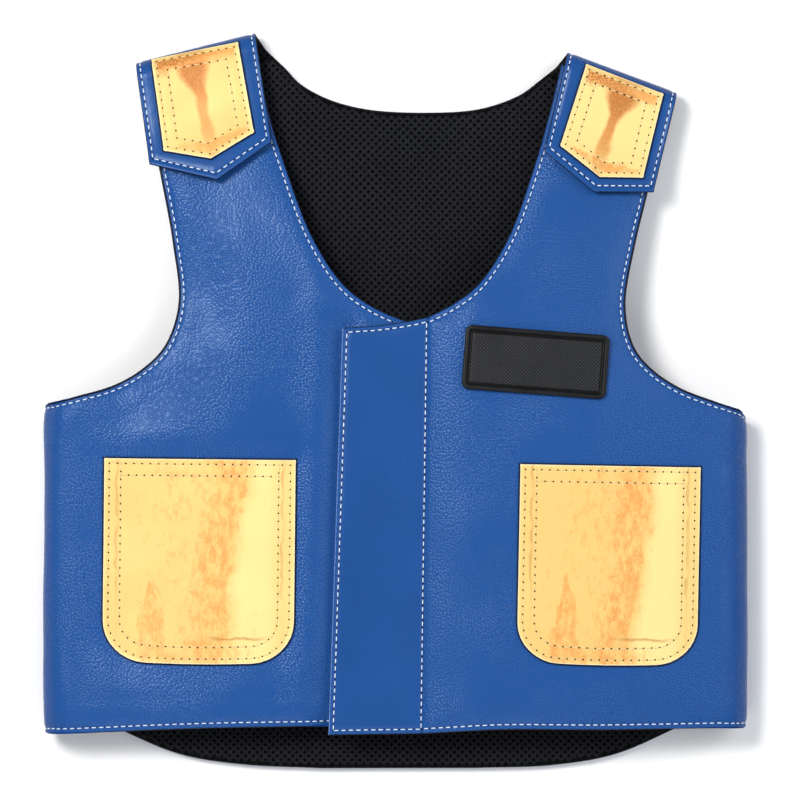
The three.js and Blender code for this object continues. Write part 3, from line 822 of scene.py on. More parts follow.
@made_once
def grain_group():
    """Pebbled leather grain: raised pebbles, the creases between them and slow changes over the hide."""
    outputs = {"Height": "Float", "Crease Shade": "Float", "Hide": "Float"}
    tree, given, result = new_group("leather_grain", {"Position": "Vector", "Pebbles": "Float"}, outputs)
    position = given["Position"]
    place = stirred(position, GRAIN["stir scale"], GRAIN["stir"])
    cells = {"Vector": place, "Scale": given["Pebbles"]}
    dome = add_node(tree, "ShaderNodeTexVoronoi", cells, voronoi_dimensions="2D")
    raised = ranged(dome["Distance"], 0.0, PEBBLE["dome"], 1.0, 0.0)
    edge_settings = {"voronoi_dimensions": "2D", "feature": "DISTANCE_TO_EDGE"}
    edge = add_node(tree, "ShaderNodeTexVoronoi", cells, **edge_settings)
    valley = ranged(edge["Distance"], 0.0, PEBBLE["valley"], 1.0, 0.0)
    slow = noise_of(position, HIDE["scale"], 3.0)["Fac"]
    hide = ranged(slow, *HIDE["range"])
    height = math_of("SUBTRACT", raised, both_of(valley, PEBBLE["valley depth"]))
    strength = ranged(hide, 0.0, 1.0, HIDE["weakest grain"], 1.0)
    tree.links.new(both_of(height, strength), result["Height"])
    # Where the creases of the grain get their painted shade
    tree.links.new(both_of(valley, strength), result["Crease Shade"])
    tree.links.new(hide, result["Hide"])
    return tree


@made_once
def lattice_group():
    """Staggered holes on a flat lattice: 1 in the middle of each hole and 0 on the strands between."""
    inputs = {"Position": "Vector", "Turns": "Float", "Stir": "Float"}
    tree, given, result = new_group("staggered_lattice", inputs, {"Hole": "Float"})
    place = stirred(given["Position"], LATTICE["stir scale"], given["Stir"])
    parts = parts_of(place)
    across = math_of("COSINE", both_of(parts["X"], given["Turns"]))
    up = math_of("COSINE", both_of(parts["Y"], given["Turns"]))
    tree.links.new(ranged(both_of(across, up), *LATTICE["hole"]), result["Hole"])
    return tree


@made_once
def handling_group():
    """Slow uneven marks of handling and dust over any finish."""
    inputs = {"Position": "Vector", "Spots": "Float"}
    tree, given, result = new_group("handling_marks", inputs, {"Mark": "Float"})
    slow = noise_of(given["Position"], given["Spots"], 5.0)["Fac"]
    fine = noise_of(given["Position"], HANDLING["fine scale"])["Fac"]
    both = math_of("ADD", slow, both_of(fine, HANDLING["fine share"]))
    tree.links.new(ranged(both, *HANDLING["mark"]), result["Mark"])
    return tree


class Finish:
    """A material with a Principled shader, and the coordinates that its pattern follows."""

    def __init__(self, name, shine, shine_colour=(1.0, 1.0, 1.0, 1.0)):
        self.material = bpy.data.materials.new(name)
        self.material.use_nodes = True
        self.tree = self.material.node_tree
        self.shader = self.tree.nodes["Principled BSDF"]
        self.shader.inputs["Specular IOR Level"].default_value = shine
        self.shader.inputs["Specular Tint"].default_value = shine_colour
        self.position = add_node(self.tree, "ShaderNodeTexCoord")["Object"]

    def kept_place(self, name):
        """Place that a piece keeps for each of its points."""
        return add_node(self.tree, "ShaderNodeAttribute", attribute_name=name)["Vector"]

    def patch_place(self):
        """Place on a patch: across, up, and how far in from the edge as a share of 20 mm."""
        return parts_of(self.kept_place("patch_place"))

    def grit(self, scale, detail=3.0):
        return noise_of(self.position, scale, detail)["Fac"]

    def group(self, tree, **values):
        return add_node(self.tree, "ShaderNodeGroup", values, node_tree=tree)

    def holes(self, position, turns, stir):
        return self.group(lattice_group(), Position=position, Turns=turns, Stir=stir)["Hole"]

    def handled(self, spots, smooth, rough):
        """Marks of handling, which also change the finish from smooth to rough."""
        marks = self.group(handling_group(), Position=self.position, Spots=spots)["Mark"]
        self.feed("Roughness", ranged(marks, 0.0, 1.0, smooth, rough))
        return marks

    def feed(self, socket, value):
        self.tree.links.new(value, self.shader.inputs[socket])

    def bump(self, height, depth, strength=1.0):
        values = {"Height": height, "Distance": depth, "Strength": strength}
        self.feed("Normal", add_node(self.tree, "ShaderNodeBump", values)["Normal"])


def opaque(colour):
    return (*colour, 1.0)


def darker(colour, share):
    return opaque(tuple(part * share for part in colour))


@made_once
def leather_finish(name, colours, shares):
    """Blue leather with a satin topcoat and a grain of its own depth, with painted shade in the creases of
    the grain and where it is seen edge-on.
    """
    finish = Finish(name, shine=0.19, shine_colour=LEATHER_SHINE)
    flat = finish.kept_place("flat_place")
    grain = finish.group(grain_group(), Position=flat, Pebbles=GRAIN["pebbles"])
    finish.handled(spots=9.0, smooth=0.23, rough=0.29)
    body = tuple(part * shares["body"] for part in colours.leather)
    dark, light = (darker(body, shade) for shade in HIDE["shades"])
    hide = mixed(grain["Hide"], dark, light)
    # Painted shade in the creases of the grain
    crease_shaded = mixed(grain["Crease Shade"], hide, darker(body, shares["crease"]))
    # Painted shade on faces that turn away from the camera
    turned_away = add_node(finish.tree, "ShaderNodeLayerWeight", {"Blend": 0.5})["Facing"]
    edge_on_shade = ranged(turned_away, *EDGE_ON_SHADE_FADE)
    turned_shade_colour = opaque(tuple(part * share for part, share in zip(body, EDGE_ON_SHADE_SHARES)))
    finish.feed("Base Color", mixed(edge_on_shade, crease_shaded, turned_shade_colour))
    finish.bump(grain["Height"], shares["depth"])
    return finish.material


def pebbled_leather(colours):
    return leather_finish("blue_pebbled_leather", colours, PEBBLED_LEATHER)


def smooth_leather(colours):
    return leather_finish("blue_smooth_leather", colours, SMOOTH_LEATHER)


def foil_flakes(finish, strength):
    """Worn flakes of the foil, about 0."""
    tree = finish.tree
    stretch = {"Vector": finish.position, "Scale": FLAKES["scales"]}
    long_place = add_node(tree, "ShaderNodeMapping", stretch)[0]
    values = {"Vector": long_place, "Scale": 1.0, "Detail": 7.0, "Roughness": FLAKES["roughness"]}
    return about_zero(add_node(tree, "ShaderNodeTexNoise", values)["Fac"], strength)


@made_once
def gold_finish(name, colours, pattern_of):
    """Gold foil leather. Pale parts, partly painted highlight, warm parts, and creases with painted shade are
    given by a function of the finish.
    """
    finish = Finish(name, shine=0.4)
    marks = finish.handled(spots=24.0, smooth=0.4, rough=0.5)
    grit = finish.grit(FOIL["grit scale"])
    bright, streak, crease = pattern_of(finish)
    face = mixed(marks, opaque(colours.gold), darker(colours.gold, FOIL["worn shade"]))
    # Pale parts of the foil, partly painted highlight
    pale = mixed(bright, face, opaque(colours.gold_pale_and_highlight))
    gritty = both_of(streak, ranged(grit, *FOIL["grit"], 0.6, 1.0))
    warm = mixed(gritty, pale, opaque(colours.gold_warm))
    # Painted shade in the creases and at the fold, and the darker part of the shoulder streak
    finish.feed("Base Color", mixed(crease, warm, opaque(colours.gold_crease_shade_and_streak)))
    finish.feed("Metallic", ranged(gritty, 0.0, 1.0, *FOIL["metal"]))
    sunk = both_of(crease, 0.4)
    finish.bump(math_of("SUBTRACT", grit, sunk), FOIL["relief"], strength=0.6)
    return finish.material


def chest_pattern(finish):
    """A chest patch: a flaky warm streak leaning to the right, a low wedge, a pale side that is a painted
    highlight and creases with painted shade.
    """
    foil = CHEST_FOIL
    place = finish.patch_place()
    from_left, up, inward = place["X"], place["Y"], place["Z"]
    across = math_of("ADD", from_left, about_zero(finish.grit(scale=26.0), foil["wander"]))
    leaning = math_of("SUBTRACT", across, both_of(up, foil["lean"]))
    starts, ends = foil["streak"]
    broad = both_of(ranged(leaning, *starts), ranged(leaning, *ends, 1.0, 0.0))
    thin = ranged(up, *foil["scatter up"], 0.25, 0.45)
    scattered = both_of(band(leaning, *foil["scatter"]), thin)
    wedge_width = ranged(up, *foil["wedge up"], *foil["wedge widths"])
    wedge_away = math_of("ABSOLUTE", math_of("SUBTRACT", across, foil["wedge"]))
    wedge = ranged(math_of("DIVIDE", wedge_away, wedge_width), 0.5, 1.1, 1.0, 0.0)
    low = both_of(wedge, ranged(up, *foil["wedge end"], 1.0, 0.0))
    foot_strength = ranged(up, *foil["foot up"], 0.75, 0.0)
    foot = both_of(foot_strength, band(across, *foil["foot"]))
    dense = either_of(either_of(broad, low), either_of(foot, scattered))
    flaky = math_of("ADD", both_of(dense, 0.6), foil_flakes(finish, foil["flakes"]))
    streak = ranged(flaky, *foil["flaky"])
    # Painted highlight on the right side of the patch
    starts, ends = foil["pale"]
    highlight_side = both_of(ranged(leaning, *starts), ranged(from_left, *ends, 1.0, 0.3))
    bright = either_of(highlight_side, ranged(inward, *PATCH_RIM, 0.6, 0.0))
    waver = finish.grit(scale=75.0, detail=2.0)
    bend = about_zero(waver, foil["bend"])
    beside = math_of("ADD", from_left, bend)
    side_creases = [band(beside, middle, foil["crease width"]) for middle in foil["side creases"]]
    upper_part = ranged(up, *foil["side crease up"], 0.2, 1.0)
    side_crease = both_of(either_of(*side_creases), upper_part)
    level = math_of("ADD", up, bend)
    low_line = band(level, foil["low crease"], foil["crease width"])
    low_crease = both_of(low_line, band(from_left, *foil["low crease across"]))
    # How strong the painted shade of the side creases is
    worn = ranged(waver, 0.3, 0.6, 0.1, 0.4)
    low_crease_shade = both_of(low_crease, foil["low crease strength"])
    crease = either_of(both_of(side_crease, worn), low_crease_shade)
    return bright, streak, crease


def shoulder_pattern(finish):
    """A shoulder patch: a dark streak that widens to the fold, gritty worn bands at both ends, painted shade
    at the fold and a painted highlight on the wearer's left.
    """
    foil = SHOULDER_FOIL
    place = finish.patch_place()
    from_left, up, inward = place["X"], place["Y"], place["Z"]
    wander = about_zero(finish.grit(scale=42.0), foil["wander"])
    beside = math_of("ADD", math_of("SUBTRACT", from_left, foil["middle"]), wander)
    away = math_of("ABSOLUTE", beside)
    width = ranged(up, *foil["widening"], *foil["widths"])
    shape = ranged(math_of("DIVIDE", away, width), 0.45, 1.2, 1.0, 0.0)
    length = ranged(up, *foil["length"], 0.45, 1.0)
    streak = both_of(both_of(shape, length), ranged(up, *foil["fold"], 1.0, 0.4))
    between_rows = band(inward, *foil["rows"])
    fold_end = both_of(between_rows, ranged(up, *foil["fold end"]))
    tip_end = both_of(between_rows, ranged(up, *foil["tip end"], 0.9, 0.0))
    ends = math_of("ADD", either_of(fold_end, tip_end), foil_flakes(finish, foil["flakes"]))
    worn = ranged(ends, *foil["worn"])
    grit = finish.grit(foil["grit scale"])
    # Painted shade in a band where the patch bends over the fold
    brown = ranged(math_of("ADD", from_left, wander), *foil["brown"], 1.0, 0.15)
    fold_shade = both_of(both_of(fold_end, brown), ranged(grit, 0.35, 0.62))
    speckled = ranged(grit, 0.36, 0.62, 0.65, 1.0)
    deep = both_of(streak, ranged(up, *foil["deep"], 0.45, 1.0))
    crease = either_of(fold_shade, both_of(deep, speckled))
    # Painted highlight on the patch on the wearer's left
    across_vest = parts_of(finish.position)["X"]
    left_highlight = ranged(across_vest, *foil["left_highlight"], 0.0, 0.7)
    bright = either_of(left_highlight, ranged(inward, *PATCH_RIM, 0.7, 0.0))
    return bright, either_of(streak, worn), crease


def chest_gold(colours):
    return gold_finish("gold_foil_chest", colours, chest_pattern)


def shoulder_gold(colours):
    return gold_finish("gold_foil_shoulder", colours, shoulder_pattern)


@made_once
def cut_edge(name, colour):
    """The raw edge of cut leather."""
    finish = Finish(name, shine=0.2)
    fibre = finish.grit(scale=1500.0)
    finish.handled(spots=60.0, smooth=0.7, rough=0.9)
    finish.feed("Base Color", mixed(fibre, darker(colour, 0.6), darker(colour, 1.3)))
    finish.bump(fibre, depth=0.0002, strength=0.6)
    return finish.material


# Dark edge finish, partly edge paint and partly painted shade on edges and walls turned from the light
def dark_edge(colours):
    return cut_edge("dark_cut_edge", colours.leather_hole)


# A pale edge finish that paints a highlight on the free edge of the flap
def highlighted_edge(colours):
    return cut_edge("rubbed_leather_edge", colours.leather_edge)


def pale_edge(colours):
    return cut_edge("pale_cut_edge", colours.patch_edge)


@made_once
def mesh_fabric(colours):
    """Black air mesh seen from inside the vest, with a lattice of holes painted darker as the shade inside
    them.
    """
    finish = Finish("black_air_mesh", shine=0.1)
    holes = finish.holes(finish.position, turns=1100.0, stir=0.002)
    marks = finish.handled(spots=30.0, smooth=0.75, rough=0.9)
    strand = mixed(marks, darker(colours.mesh, 1.2), darker(colours.mesh, 2.8))
    # Painted shade in the holes
    finish.feed("Base Color", mixed(holes, strand, darker(colours.mesh, 0.2)))
    finish.bump(math_of("SUBTRACT", 1.0, holes), depth=0.0008)
    return finish.material


@made_once
def pitted_mesh(colours, turns):
    """Black air mesh whose holes are real pits painted near black inside as painted shade, and flat dark
    spots painted where an edge cuts them off.
    """
    finish = Finish("black_air_mesh_strands", shine=0.06)
    height = parts_of(finish.position)["Z"]
    top = (BACK_THICKNESS + PIECE_GAP + LINING_THICKNESS) * MM
    raised = ranged(height, top - 0.7 * MM, top)
    holes = finish.holes(finish.kept_place("mesh_place"), turns=turns, stir=0.0)
    strand_top = both_of(raised, math_of("SUBTRACT", 1.0, holes))
    fibre = finish.grit(scale=2200.0)
    finish.handled(spots=30.0, smooth=0.5, rough=0.65)
    woven = ranged(fibre, 0.35, 0.7)
    strand = mixed(woven, darker(colours.mesh, 0.6), darker(colours.mesh, 4.8))
    # Painted shade: near black in the pits and in the flat spots of the lattice
    finish.feed("Base Color", mixed(strand_top, darker(colours.mesh, 0.01), strand))
    finish.bump(fibre, depth=0.0003, strength=0.6)
    return finish.material


@made_once
def badge_rubber(colours):
    """Moulded black rubber with a fine crossed texture and painted shade in its channel."""
    finish = Finish("black_moulded_rubber", shine=0.2)
    crossed = finish.holes(finish.position, turns=2500.0, stir=0.002)
    marks = finish.handled(spots=60.0, smooth=0.4, rough=0.52)
    inward = finish.patch_place()["Z"]
    field = ranged(inward, *BADGE_FIELD_START)
    texture = both_of(crossed, field)
    rim = mixed(marks, darker(colours.rubber, 0.5), darker(colours.rubber, 0.8))
    # Painted shade in the moulded channel
    channel = band(inward, *BADGE_CHANNEL_BAND)
    moulded = mixed(channel, rim, darker(colours.rubber, 0.1))
    flat = mixed(texture, darker(colours.rubber, 1.0), darker(colours.rubber, 5.0))
    finish.feed("Base Color", mixed(field, moulded, flat))
    finish.bump(texture, depth=0.0003, strength=0.7)
    return finish.material


@made_once
def sewing_thread(name, colour):
    """Twisted sewing thread."""
    finish = Finish(name, shine=0.3)
    twist = finish.grit(scale=2500.0, detail=2.0)
    finish.handled(spots=80.0, smooth=0.55, rough=0.75)
    finish.feed("Base Color", mixed(twist, darker(colour, 0.82), opaque(colour)))
    finish.bump(twist, depth=0.0002, strength=0.5)
    return finish.material


@made_once
def needle_hole(name, colour):
    """The dark inside of a needle hole, painted as the shade in it."""
    finish = Finish(name, shine=0.1)
    marks = finish.handled(spots=200.0, smooth=0.8, rough=0.95)
    finish.feed("Base Color", mixed(marks, darker(colour, 0.6), opaque(colour)))
    return finish.material


# Padded fronts


def front_lines(side):
    """Sewn lines and the side seam of a front in its flat pattern, counterclockwise from the front edge."""
    flat = np.array((side.sign, 1))
    hem = (side.hem * flat)[::-1]
    armhole = side.armhole * flat
    neckline = (side.neckline * flat)[::-1]
    strip_end = BEND_START_X + math.pi * SIDE_RADIUS + BEND_START_X - SIDE_SEAM_X - PIECE_GAP
    hem_strip = even_line([hem[-1], (strip_end, hem[-1][1])], LINE_STEP)
    seam = even_line([(strip_end, hem[-1][1]), (strip_end, armhole[0][1])], LINE_STEP)
    arm_strip = even_line([(strip_end, armhole[0][1]), armhole[0]], LINE_STEP)
    shoulder = even_line([armhole[-1], neckline[0]], LINE_STEP)
    front_edge = even_line([neckline[-1], hem[0]], LINE_STEP)
    return {
        "hem": np.vstack((hem, hem_strip[1:])),
        "seam": seam,
        "armhole": np.vstack((arm_strip, armhole[1:])),
        "shoulder": shoulder,
        "neckline": neckline,
        "front edge": front_edge,
    }


def padding_hills(side, places, edge, sizes):
    """How far the outer face of a front swells or sinks: slow hills and a dish at its patch."""
    slow = soft_hills(places, FRONT_HILLS)
    slow *= smooth_step(edge, *FRONT_HILLS["fade"]) * sizes.hills / MM
    patch = CHEST_PATCH[side.name]
    patch_lines = [turned_places(patch, line) for line in chest_outline(patch, 0)]
    away = distance_to(places, patch_lines)
    away = np.where(lies_inside(places, joined(patch_lines)), -away, away)
    press = sizes.patch_press / MM * PATCH_PRESS_SHARE[side.name]
    hills = slow - press * (1 - smooth_step(away, *PATCH_PRESS_FADE))
    if side.sign < 0:
        flap_edge = [np.array((FLAP_TOP[0], FLAP_FOOT[0]))]
        hills *= smooth_step(-places[:, 0], *UNDER_FLAP_HILL_FADE)
        hills -= FLAP_VALLEY["depth"] * bell(distance_to(places, flap_edge), FLAP_VALLEY["width"])
    return hills


def front_layers(side, pattern, lines, sizes):
    """Outer and inner points of a padded front for points of its flat pattern."""
    groove_depth = sizes.groove / MM
    sewn = [line for name, line in lines.items() if name != "seam"]
    rounded = [line for line in sewn if side.sign < 0 or line is not lines["front edge"]]
    edge = distance_to(pattern, sewn)
    lip = rounding(distance_to(pattern, rounded), SEWN_EDGE_THICKNESS / 2)
    stitched = distance_to(pattern, [lines["hem"], lines["armhole"], lines["neckline"]])
    share = np.clip(1 - edge / EDGE_ROLL_WIDTH, 0, None) ** 2
    drop = EDGE_DROP * share
    thickness = FRONT_THICKNESS - (FRONT_THICKNESS - SEWN_EDGE_THICKNESS) * share
    groove = groove_depth * bell(stitched - STITCH_INSET, FRONT_GROOVE_WIDTH)
    out, up = pattern.T
    spots = np.column_stack((side.sign * np.minimum(out, BEND_START_X), up))
    hills = padding_hills(side, np.column_stack((side.sign * out, up)), edge, sizes)
    if side.sign < 0:
        groove *= smooth_step(out, *UNDER_FLAP_GROOVE_FADE)
    else:
        from_flap = distance_to(pattern, [lines["front edge"]])
        seam_groove = FLAP_SEAM_GROOVE["share"] * bell(from_flap, FLAP_SEAM_GROOVE["width"])
        groove = np.maximum(groove, groove_depth * seam_groove)
        hills += SEAM_PILLOW["height"] * bell(from_flap - SEAM_PILLOW["away"], SEAM_PILLOW["width"])
    height = side.front_height(spots) - side.armhole_lean(spots)
    bent = out > BEND_START_X
    around = np.clip(out - BEND_START_X, 0, math.pi * SIDE_RADIUS)
    returned = np.clip(out - BEND_START_X - math.pi * SIDE_RADIUS, 0, None)
    angle = math.pi / 2 - around / SIDE_RADIUS
    rise = np.sin(angle)
    roll_share = SIDE_ROLL_SHARE + (1 - SIDE_ROLL_SHARE) * np.maximum(0, rise)
    roll = drop * np.where(bent, roll_share, 1)
    seam_lip = rounding(distance_to(pattern, [lines["seam"]]), SIDE_SEAM_ROUNDING)
    past_hollow = np.degrees(angle) - SIDE_HOLLOW["angle"]
    hollow = SIDE_HOLLOW["depth"] * bell(past_hollow, SIDE_HOLLOW["width"]) * bent
    hollow += SIDE_EASE * smooth_step(out, *SIDE_EASE_FADE) * (1 - smooth_step(out, *SIDE_EASE_END))
    hills = np.where(hills > 0, hills * (1 - smooth_step(-rise, *UNDERSIDE_FADE)), hills)
    above = hills - roll - groove - lip - seam_lip - hollow
    below = -roll - thickness + lip
    dip = np.where(rise > 0, np.cos(angle), 1)
    hem_y = side.hem[0][1]
    arm_y = side.armhole[0][1]
    low = hem_y - HEM_DIP * dip
    high = arm_y - UNDERARM_DIP[side.name] * dip
    high = high - rounding(SIDE_RADIUS * (1 - dip), UNDERARM_CORNER[side.name])
    strip_y = low + (high - low) * (up - hem_y) / (arm_y - hem_y)
    layers = []
    for offset in (above, below):
        radius = SIDE_RADIUS + offset
        x = np.where(bent, BEND_START_X + radius * np.cos(angle) - returned, out)
        z = np.where(bent, SIDE_RADIUS + radius * rise, height + offset)
        layers.append(np.column_stack((side.sign * x, np.where(bent, strip_y, up), z)))
    return layers[0], layers[1], edge


def face_middles(values, triangles):
    """Values at the points of a sheet, averaged for each of its triangles."""
    return values[triangles].mean(1)


def make_front(side, sizes, colours):
    """A padded front, filled by pressure, with its padding turned in round the sewn edges."""
    lines = front_lines(side)
    pattern, triangles = fill_outline(joined(list(lines.values())), EDGE_ROWS, PAD_SPACING)
    outer, inner, edge = front_layers(side, pattern, lines, sizes)
    sewn = distance_to(pattern, list(lines.values()))
    held = 1 - smooth_step(sewn, *SEAM_HOLD)
    if side.sign < 0:
        held = np.maximum(held, 1 - smooth_step(pattern[:, 0], *FLAP_HOLD))
    held = np.maximum(held, smooth_step(pattern[:, 0], *SIDE_HOLD))
    outer = puffed(outer, triangles, held, sizes.puff / MM)
    shell = closed_shell(outer, inner, triangles, side.sign < 0)
    from_ends = distance_to(pattern, [lines["hem"], lines["neckline"]])
    # Dark bands at the sewn edges, partly edge paint and partly painted shade of the rolled edge
    painted = face_middles(from_ends, triangles) < EDGE_PAINT
    from_armhole = distance_to(pattern, [lines["armhole"]])
    arm_painted = face_middles(from_armhole, triangles) < ARM_EDGE_PAINT
    outside = np.where(painted | arm_painted, 2, 0)
    turned_in = np.where(face_middles(edge, triangles) < TURNED_IN_WIDTH, 0, 1)
    piece = make_piece(
        FRONT_NAMES[side.name],
        shell,
        [pebbled_leather(colours), mesh_fabric(colours), dark_edge(colours)],
        (outside, turned_in, 0),
        f"front_panel_{side.name}",
        "blue_leather",
        "flat_place",
        flat_places(pattern * (side.sign, 1)),
    )


# Flap


def flap_lines():
    """Lines round the flap, counterclockwise: its foot, the seam, its top and its free edge."""
    top = curve_through(FLAP_TOP)
    foot = even_line(FLAP_FOOT, LINE_STEP)
    seam = even_line([foot[-1], top[-1]], LINE_STEP)
    free = even_line([top[0], foot[0]], LINE_STEP)
    return foot, seam, top[::-1], free


def make_flap(sizes, colours):
    """The thin closing flap that carries on from the left front over the right front."""
    foot, seam, top, free = flap_lines()
    pattern, triangles = fill_outline(joined([foot, seam, top, free]), SHEET_ROWS, SHEET_SPACING)
    from_edge = distance_to(pattern, [foot, top, free])
    from_seam = distance_to(pattern, [seam])
    from_free = distance_to(pattern, [free])
    lip = rounding(from_edge, FLAP_THICKNESS / 2)
    groove_depth = sizes.groove / MM
    groove = groove_depth * bell(from_edge - FLAP_STITCH_INSET, FLAP_GROOVE_WIDTH)
    seam_groove = FLAP_SEAM_GROOVE["share"] * bell(from_seam, FLAP_SEAM_GROOVE["width"])
    groove = np.maximum(groove, groove_depth * seam_groove)
    lifted = sizes.flap_lift / MM * bell(from_free, FLAP_LIFT_HILLS["width"])
    uneven = soft_hills(pattern, FLAP_LIFT_HILLS)
    lifted *= 1 - FLAP_LIFT_HILLS["share"] * (1 - uneven)
    ripple = FLAP_RIPPLE["height"] * (1 + soft_hills(pattern, FLAP_RIPPLE))
    ripple *= smooth_step(from_seam, *FLAP_RIPPLE["fade"])
    base = SIDES["right"].front_height(pattern) + PIECE_GAP + lifted + ripple
    outer = np.column_stack((pattern, base + FLAP_THICKNESS - lip - groove))
    inner = np.column_stack((pattern, base + lip))
    shell = closed_shell(outer, inner, triangles, False)
    # Dark band at the edges of the flap, partly edge paint and partly painted shade
    painted = face_middles(from_edge, triangles) < EDGE_PAINT
    # The free edge of the flap gets a painted highlight
    highlighted = face_middles(from_free, triangles) < HIGHLIGHTED_EDGE
    piece = make_piece(
        FLAP_NAME,
        shell,
        [smooth_leather(colours), dark_edge(colours), highlighted_edge(colours)],
        (np.where(highlighted, 2, np.where(painted, 1, 0)), 0, 1),
        "front_flap",
        "blue_leather",
        "flat_place",
        flat_places(pattern),
    )


# Back and lining


def back_lines(depths=(BACK_SEAM_DEPTH,)):
    """The outline of the back as lines that follow each other counterclockwise from the tail.

    It runs up along both edges of each shoulder strap through the given depths below the fold.
    """
    halves = {}
    for name, side in SIDES.items():
        ends = [side.shoulder_spot(strap_seam(side, depth), (depth, depth)) for depth in depths]
        inner, outer = zip(*ends)
        tail = curve_through(TAIL[name])
        flank = even_line([tail[-1], BACK_ARMHOLE[name][0]], LINE_STEP)
        armhole = curve_through([*BACK_ARMHOLE[name], *outer[::-1]])
        strap = even_line([outer[0], inner[0]], LINE_STEP)
        halves[name] = {"tail": tail, "flank": flank, "armhole": armhole, "strap": strap, "inner": inner}
    right = halves["right"]
    left = halves["left"]
    neck_places = [*left["inner"], *BACK_NECK["left"], *BACK_NECK["right"][::-1], *right["inner"][::-1]]
    neck = curve_through(neck_places)
    foot = even_line([right["tail"][0], left["tail"][0]], LINE_STEP)
    up_left = [left["tail"], left["flank"], left["armhole"], left["strap"]]
    down_right = [right[part][::-1] for part in ("strap", "armhole", "flank", "tail")]
    return {
        "sewn": [foot, left["tail"], left["armhole"], neck, down_right[1], down_right[3]],
        "loop": [foot, *up_left, neck, *down_right],
    }


def make_back(colours):
    """The padded back: leather on the side it lies on, black cloth on the inside of the vest."""
    lines = back_lines()
    outline = joined(lines["loop"])
    pattern, triangles = fill_outline(outline, EDGE_ROWS, BACK_SPACING)
    edge = distance_to(pattern, lines["loop"])
    lip = rounding(edge, BACK_ROUNDING)
    roll = BACK_ROLL * np.clip(1 - edge / EDGE_ROLL_WIDTH, 0, None) ** 2
    from_stitches = distance_to(pattern, lines["sewn"]) - BACK_STITCH_INSET
    groove = BACK_GROOVE["depth"] * bell(from_stitches, BACK_GROOVE["width"])
    top = np.column_stack((pattern, BACK_THICKNESS - lip))
    raised = np.minimum(lip + roll * (edge > BACK_RIM) + groove, BACK_THICKNESS / 2)
    bottom = np.column_stack((pattern, raised))
    piece = make_piece(
        BACK_NAME,
        closed_shell(top, bottom, triangles, False),
        [pebbled_leather(colours), mesh_fabric(colours)],
        (1, 0, 0),
        "back_panel",
        "blue_leather",
        "flat_place",
        flat_places(pattern),
    )


def repeat_tree(name, sizes):
    """An empty geometry node tree with named sizes, and the sockets that it is given."""
    tree = bpy.data.node_groups.new(name, "GeometryNodeTree")
    sockets = tree.interface
    sockets.new_socket("Geometry", in_out="INPUT", socket_type="NodeSocketGeometry")
    for size in sizes:
        sockets.new_socket(size, in_out="INPUT", socket_type="NodeSocketFloat")
    sockets.new_socket("Geometry", in_out="OUTPUT", socket_type="NodeSocketGeometry")
    return tree, tree.nodes.new("NodeGroupInput").outputs


def spread_on_points(tree, values, material):
    """Ends a tree: a shape on each point, made real and given its material."""
    spread = add_node(tree, "GeometryNodeInstanceOnPoints", values)[0]
    real = add_node(tree, "GeometryNodeRealizeInstances", {0: spread})[0]
    dressed_values = {"Geometry": real, "Material": material}
    dressed = add_node(tree, "GeometryNodeSetMaterial", dressed_values)[0]
    tree.links.new(dressed, tree.nodes.new("NodeGroupOutput").inputs[0])
    return tree


def pit_tree(material):
    """Geometry nodes that put one four-sided pit of air mesh on each point."""
    tree, given = repeat_tree("air_mesh_pits", ("Half width", "Hole share", "Depth"))
    cell_values = {"Vertices": 4, "Radius": given["Half width"]}
    cell = add_node(tree, "GeometryNodeMeshCircle", cell_values, fill_type="NGON")["Mesh"]
    ring_values = {"Mesh": cell, "Offset Scale": 0.0, "Individual": True}
    ring = add_node(tree, "GeometryNodeExtrudeMesh", ring_values)
    narrow_values = {"Geometry": ring["Mesh"], "Selection": ring["Top"], "Scale": given["Hole share"]}
    narrow = add_node(tree, "GeometryNodeScaleElements", narrow_values)["Geometry"]
    sunk = both_of(given["Depth"], -1.0)
    down = add_node(tree, "ShaderNodeCombineXYZ", {"Z": sunk})[0]
    wall_values = {
        "Mesh": narrow,
        "Selection": ring["Top"],
        "Offset": down,
        "Offset Scale": 1.0,
        "Individual": True,
    }
    wall = add_node(tree, "GeometryNodeExtrudeMesh", wall_values)
    floor_values = {"Geometry": wall["Mesh"], "Selection": wall["Top"], "Scale": PIT_FLOOR_SHARE}
    floor = add_node(tree, "GeometryNodeScaleElements", floor_values)["Geometry"]
    return spread_on_points(tree, {"Points": given["Geometry"], "Instance": floor}, material)


def grown(name, points, tree, inputs, attributes=None):
    """The plain mesh that geometry nodes make on a set of points."""
    seed_mesh = bpy.data.meshes.new(name + "_points")
    seed_mesh.from_pydata((points * MM).tolist(), [], [])
    for attribute, values in (attributes or {}).items():
        keep_places(seed_mesh, attribute, values)
    seed = add_object(name + "_points", seed_mesh)
    modifier = seed.modifiers.new("Repeat", "NODES")
    modifier.node_group = tree
    sockets = [item for item in tree.interface.items_tree if item.in_out == "INPUT"]
    identifiers = {item.name: item.identifier for item in sockets}
    for socket, value in inputs.items():
        modifier[identifiers[socket]] = value
    evaluated = seed.evaluated_get(bpy.context.evaluated_depsgraph_get())
    mesh = bpy.data.meshes.new_from_object(evaluated)
    mesh.name = name
    seed.modifiers.clear()
    bpy.data.objects.remove(seed)
    bpy.data.meshes.remove(seed_mesh)
    bpy.data.node_groups.remove(tree)
    return mesh


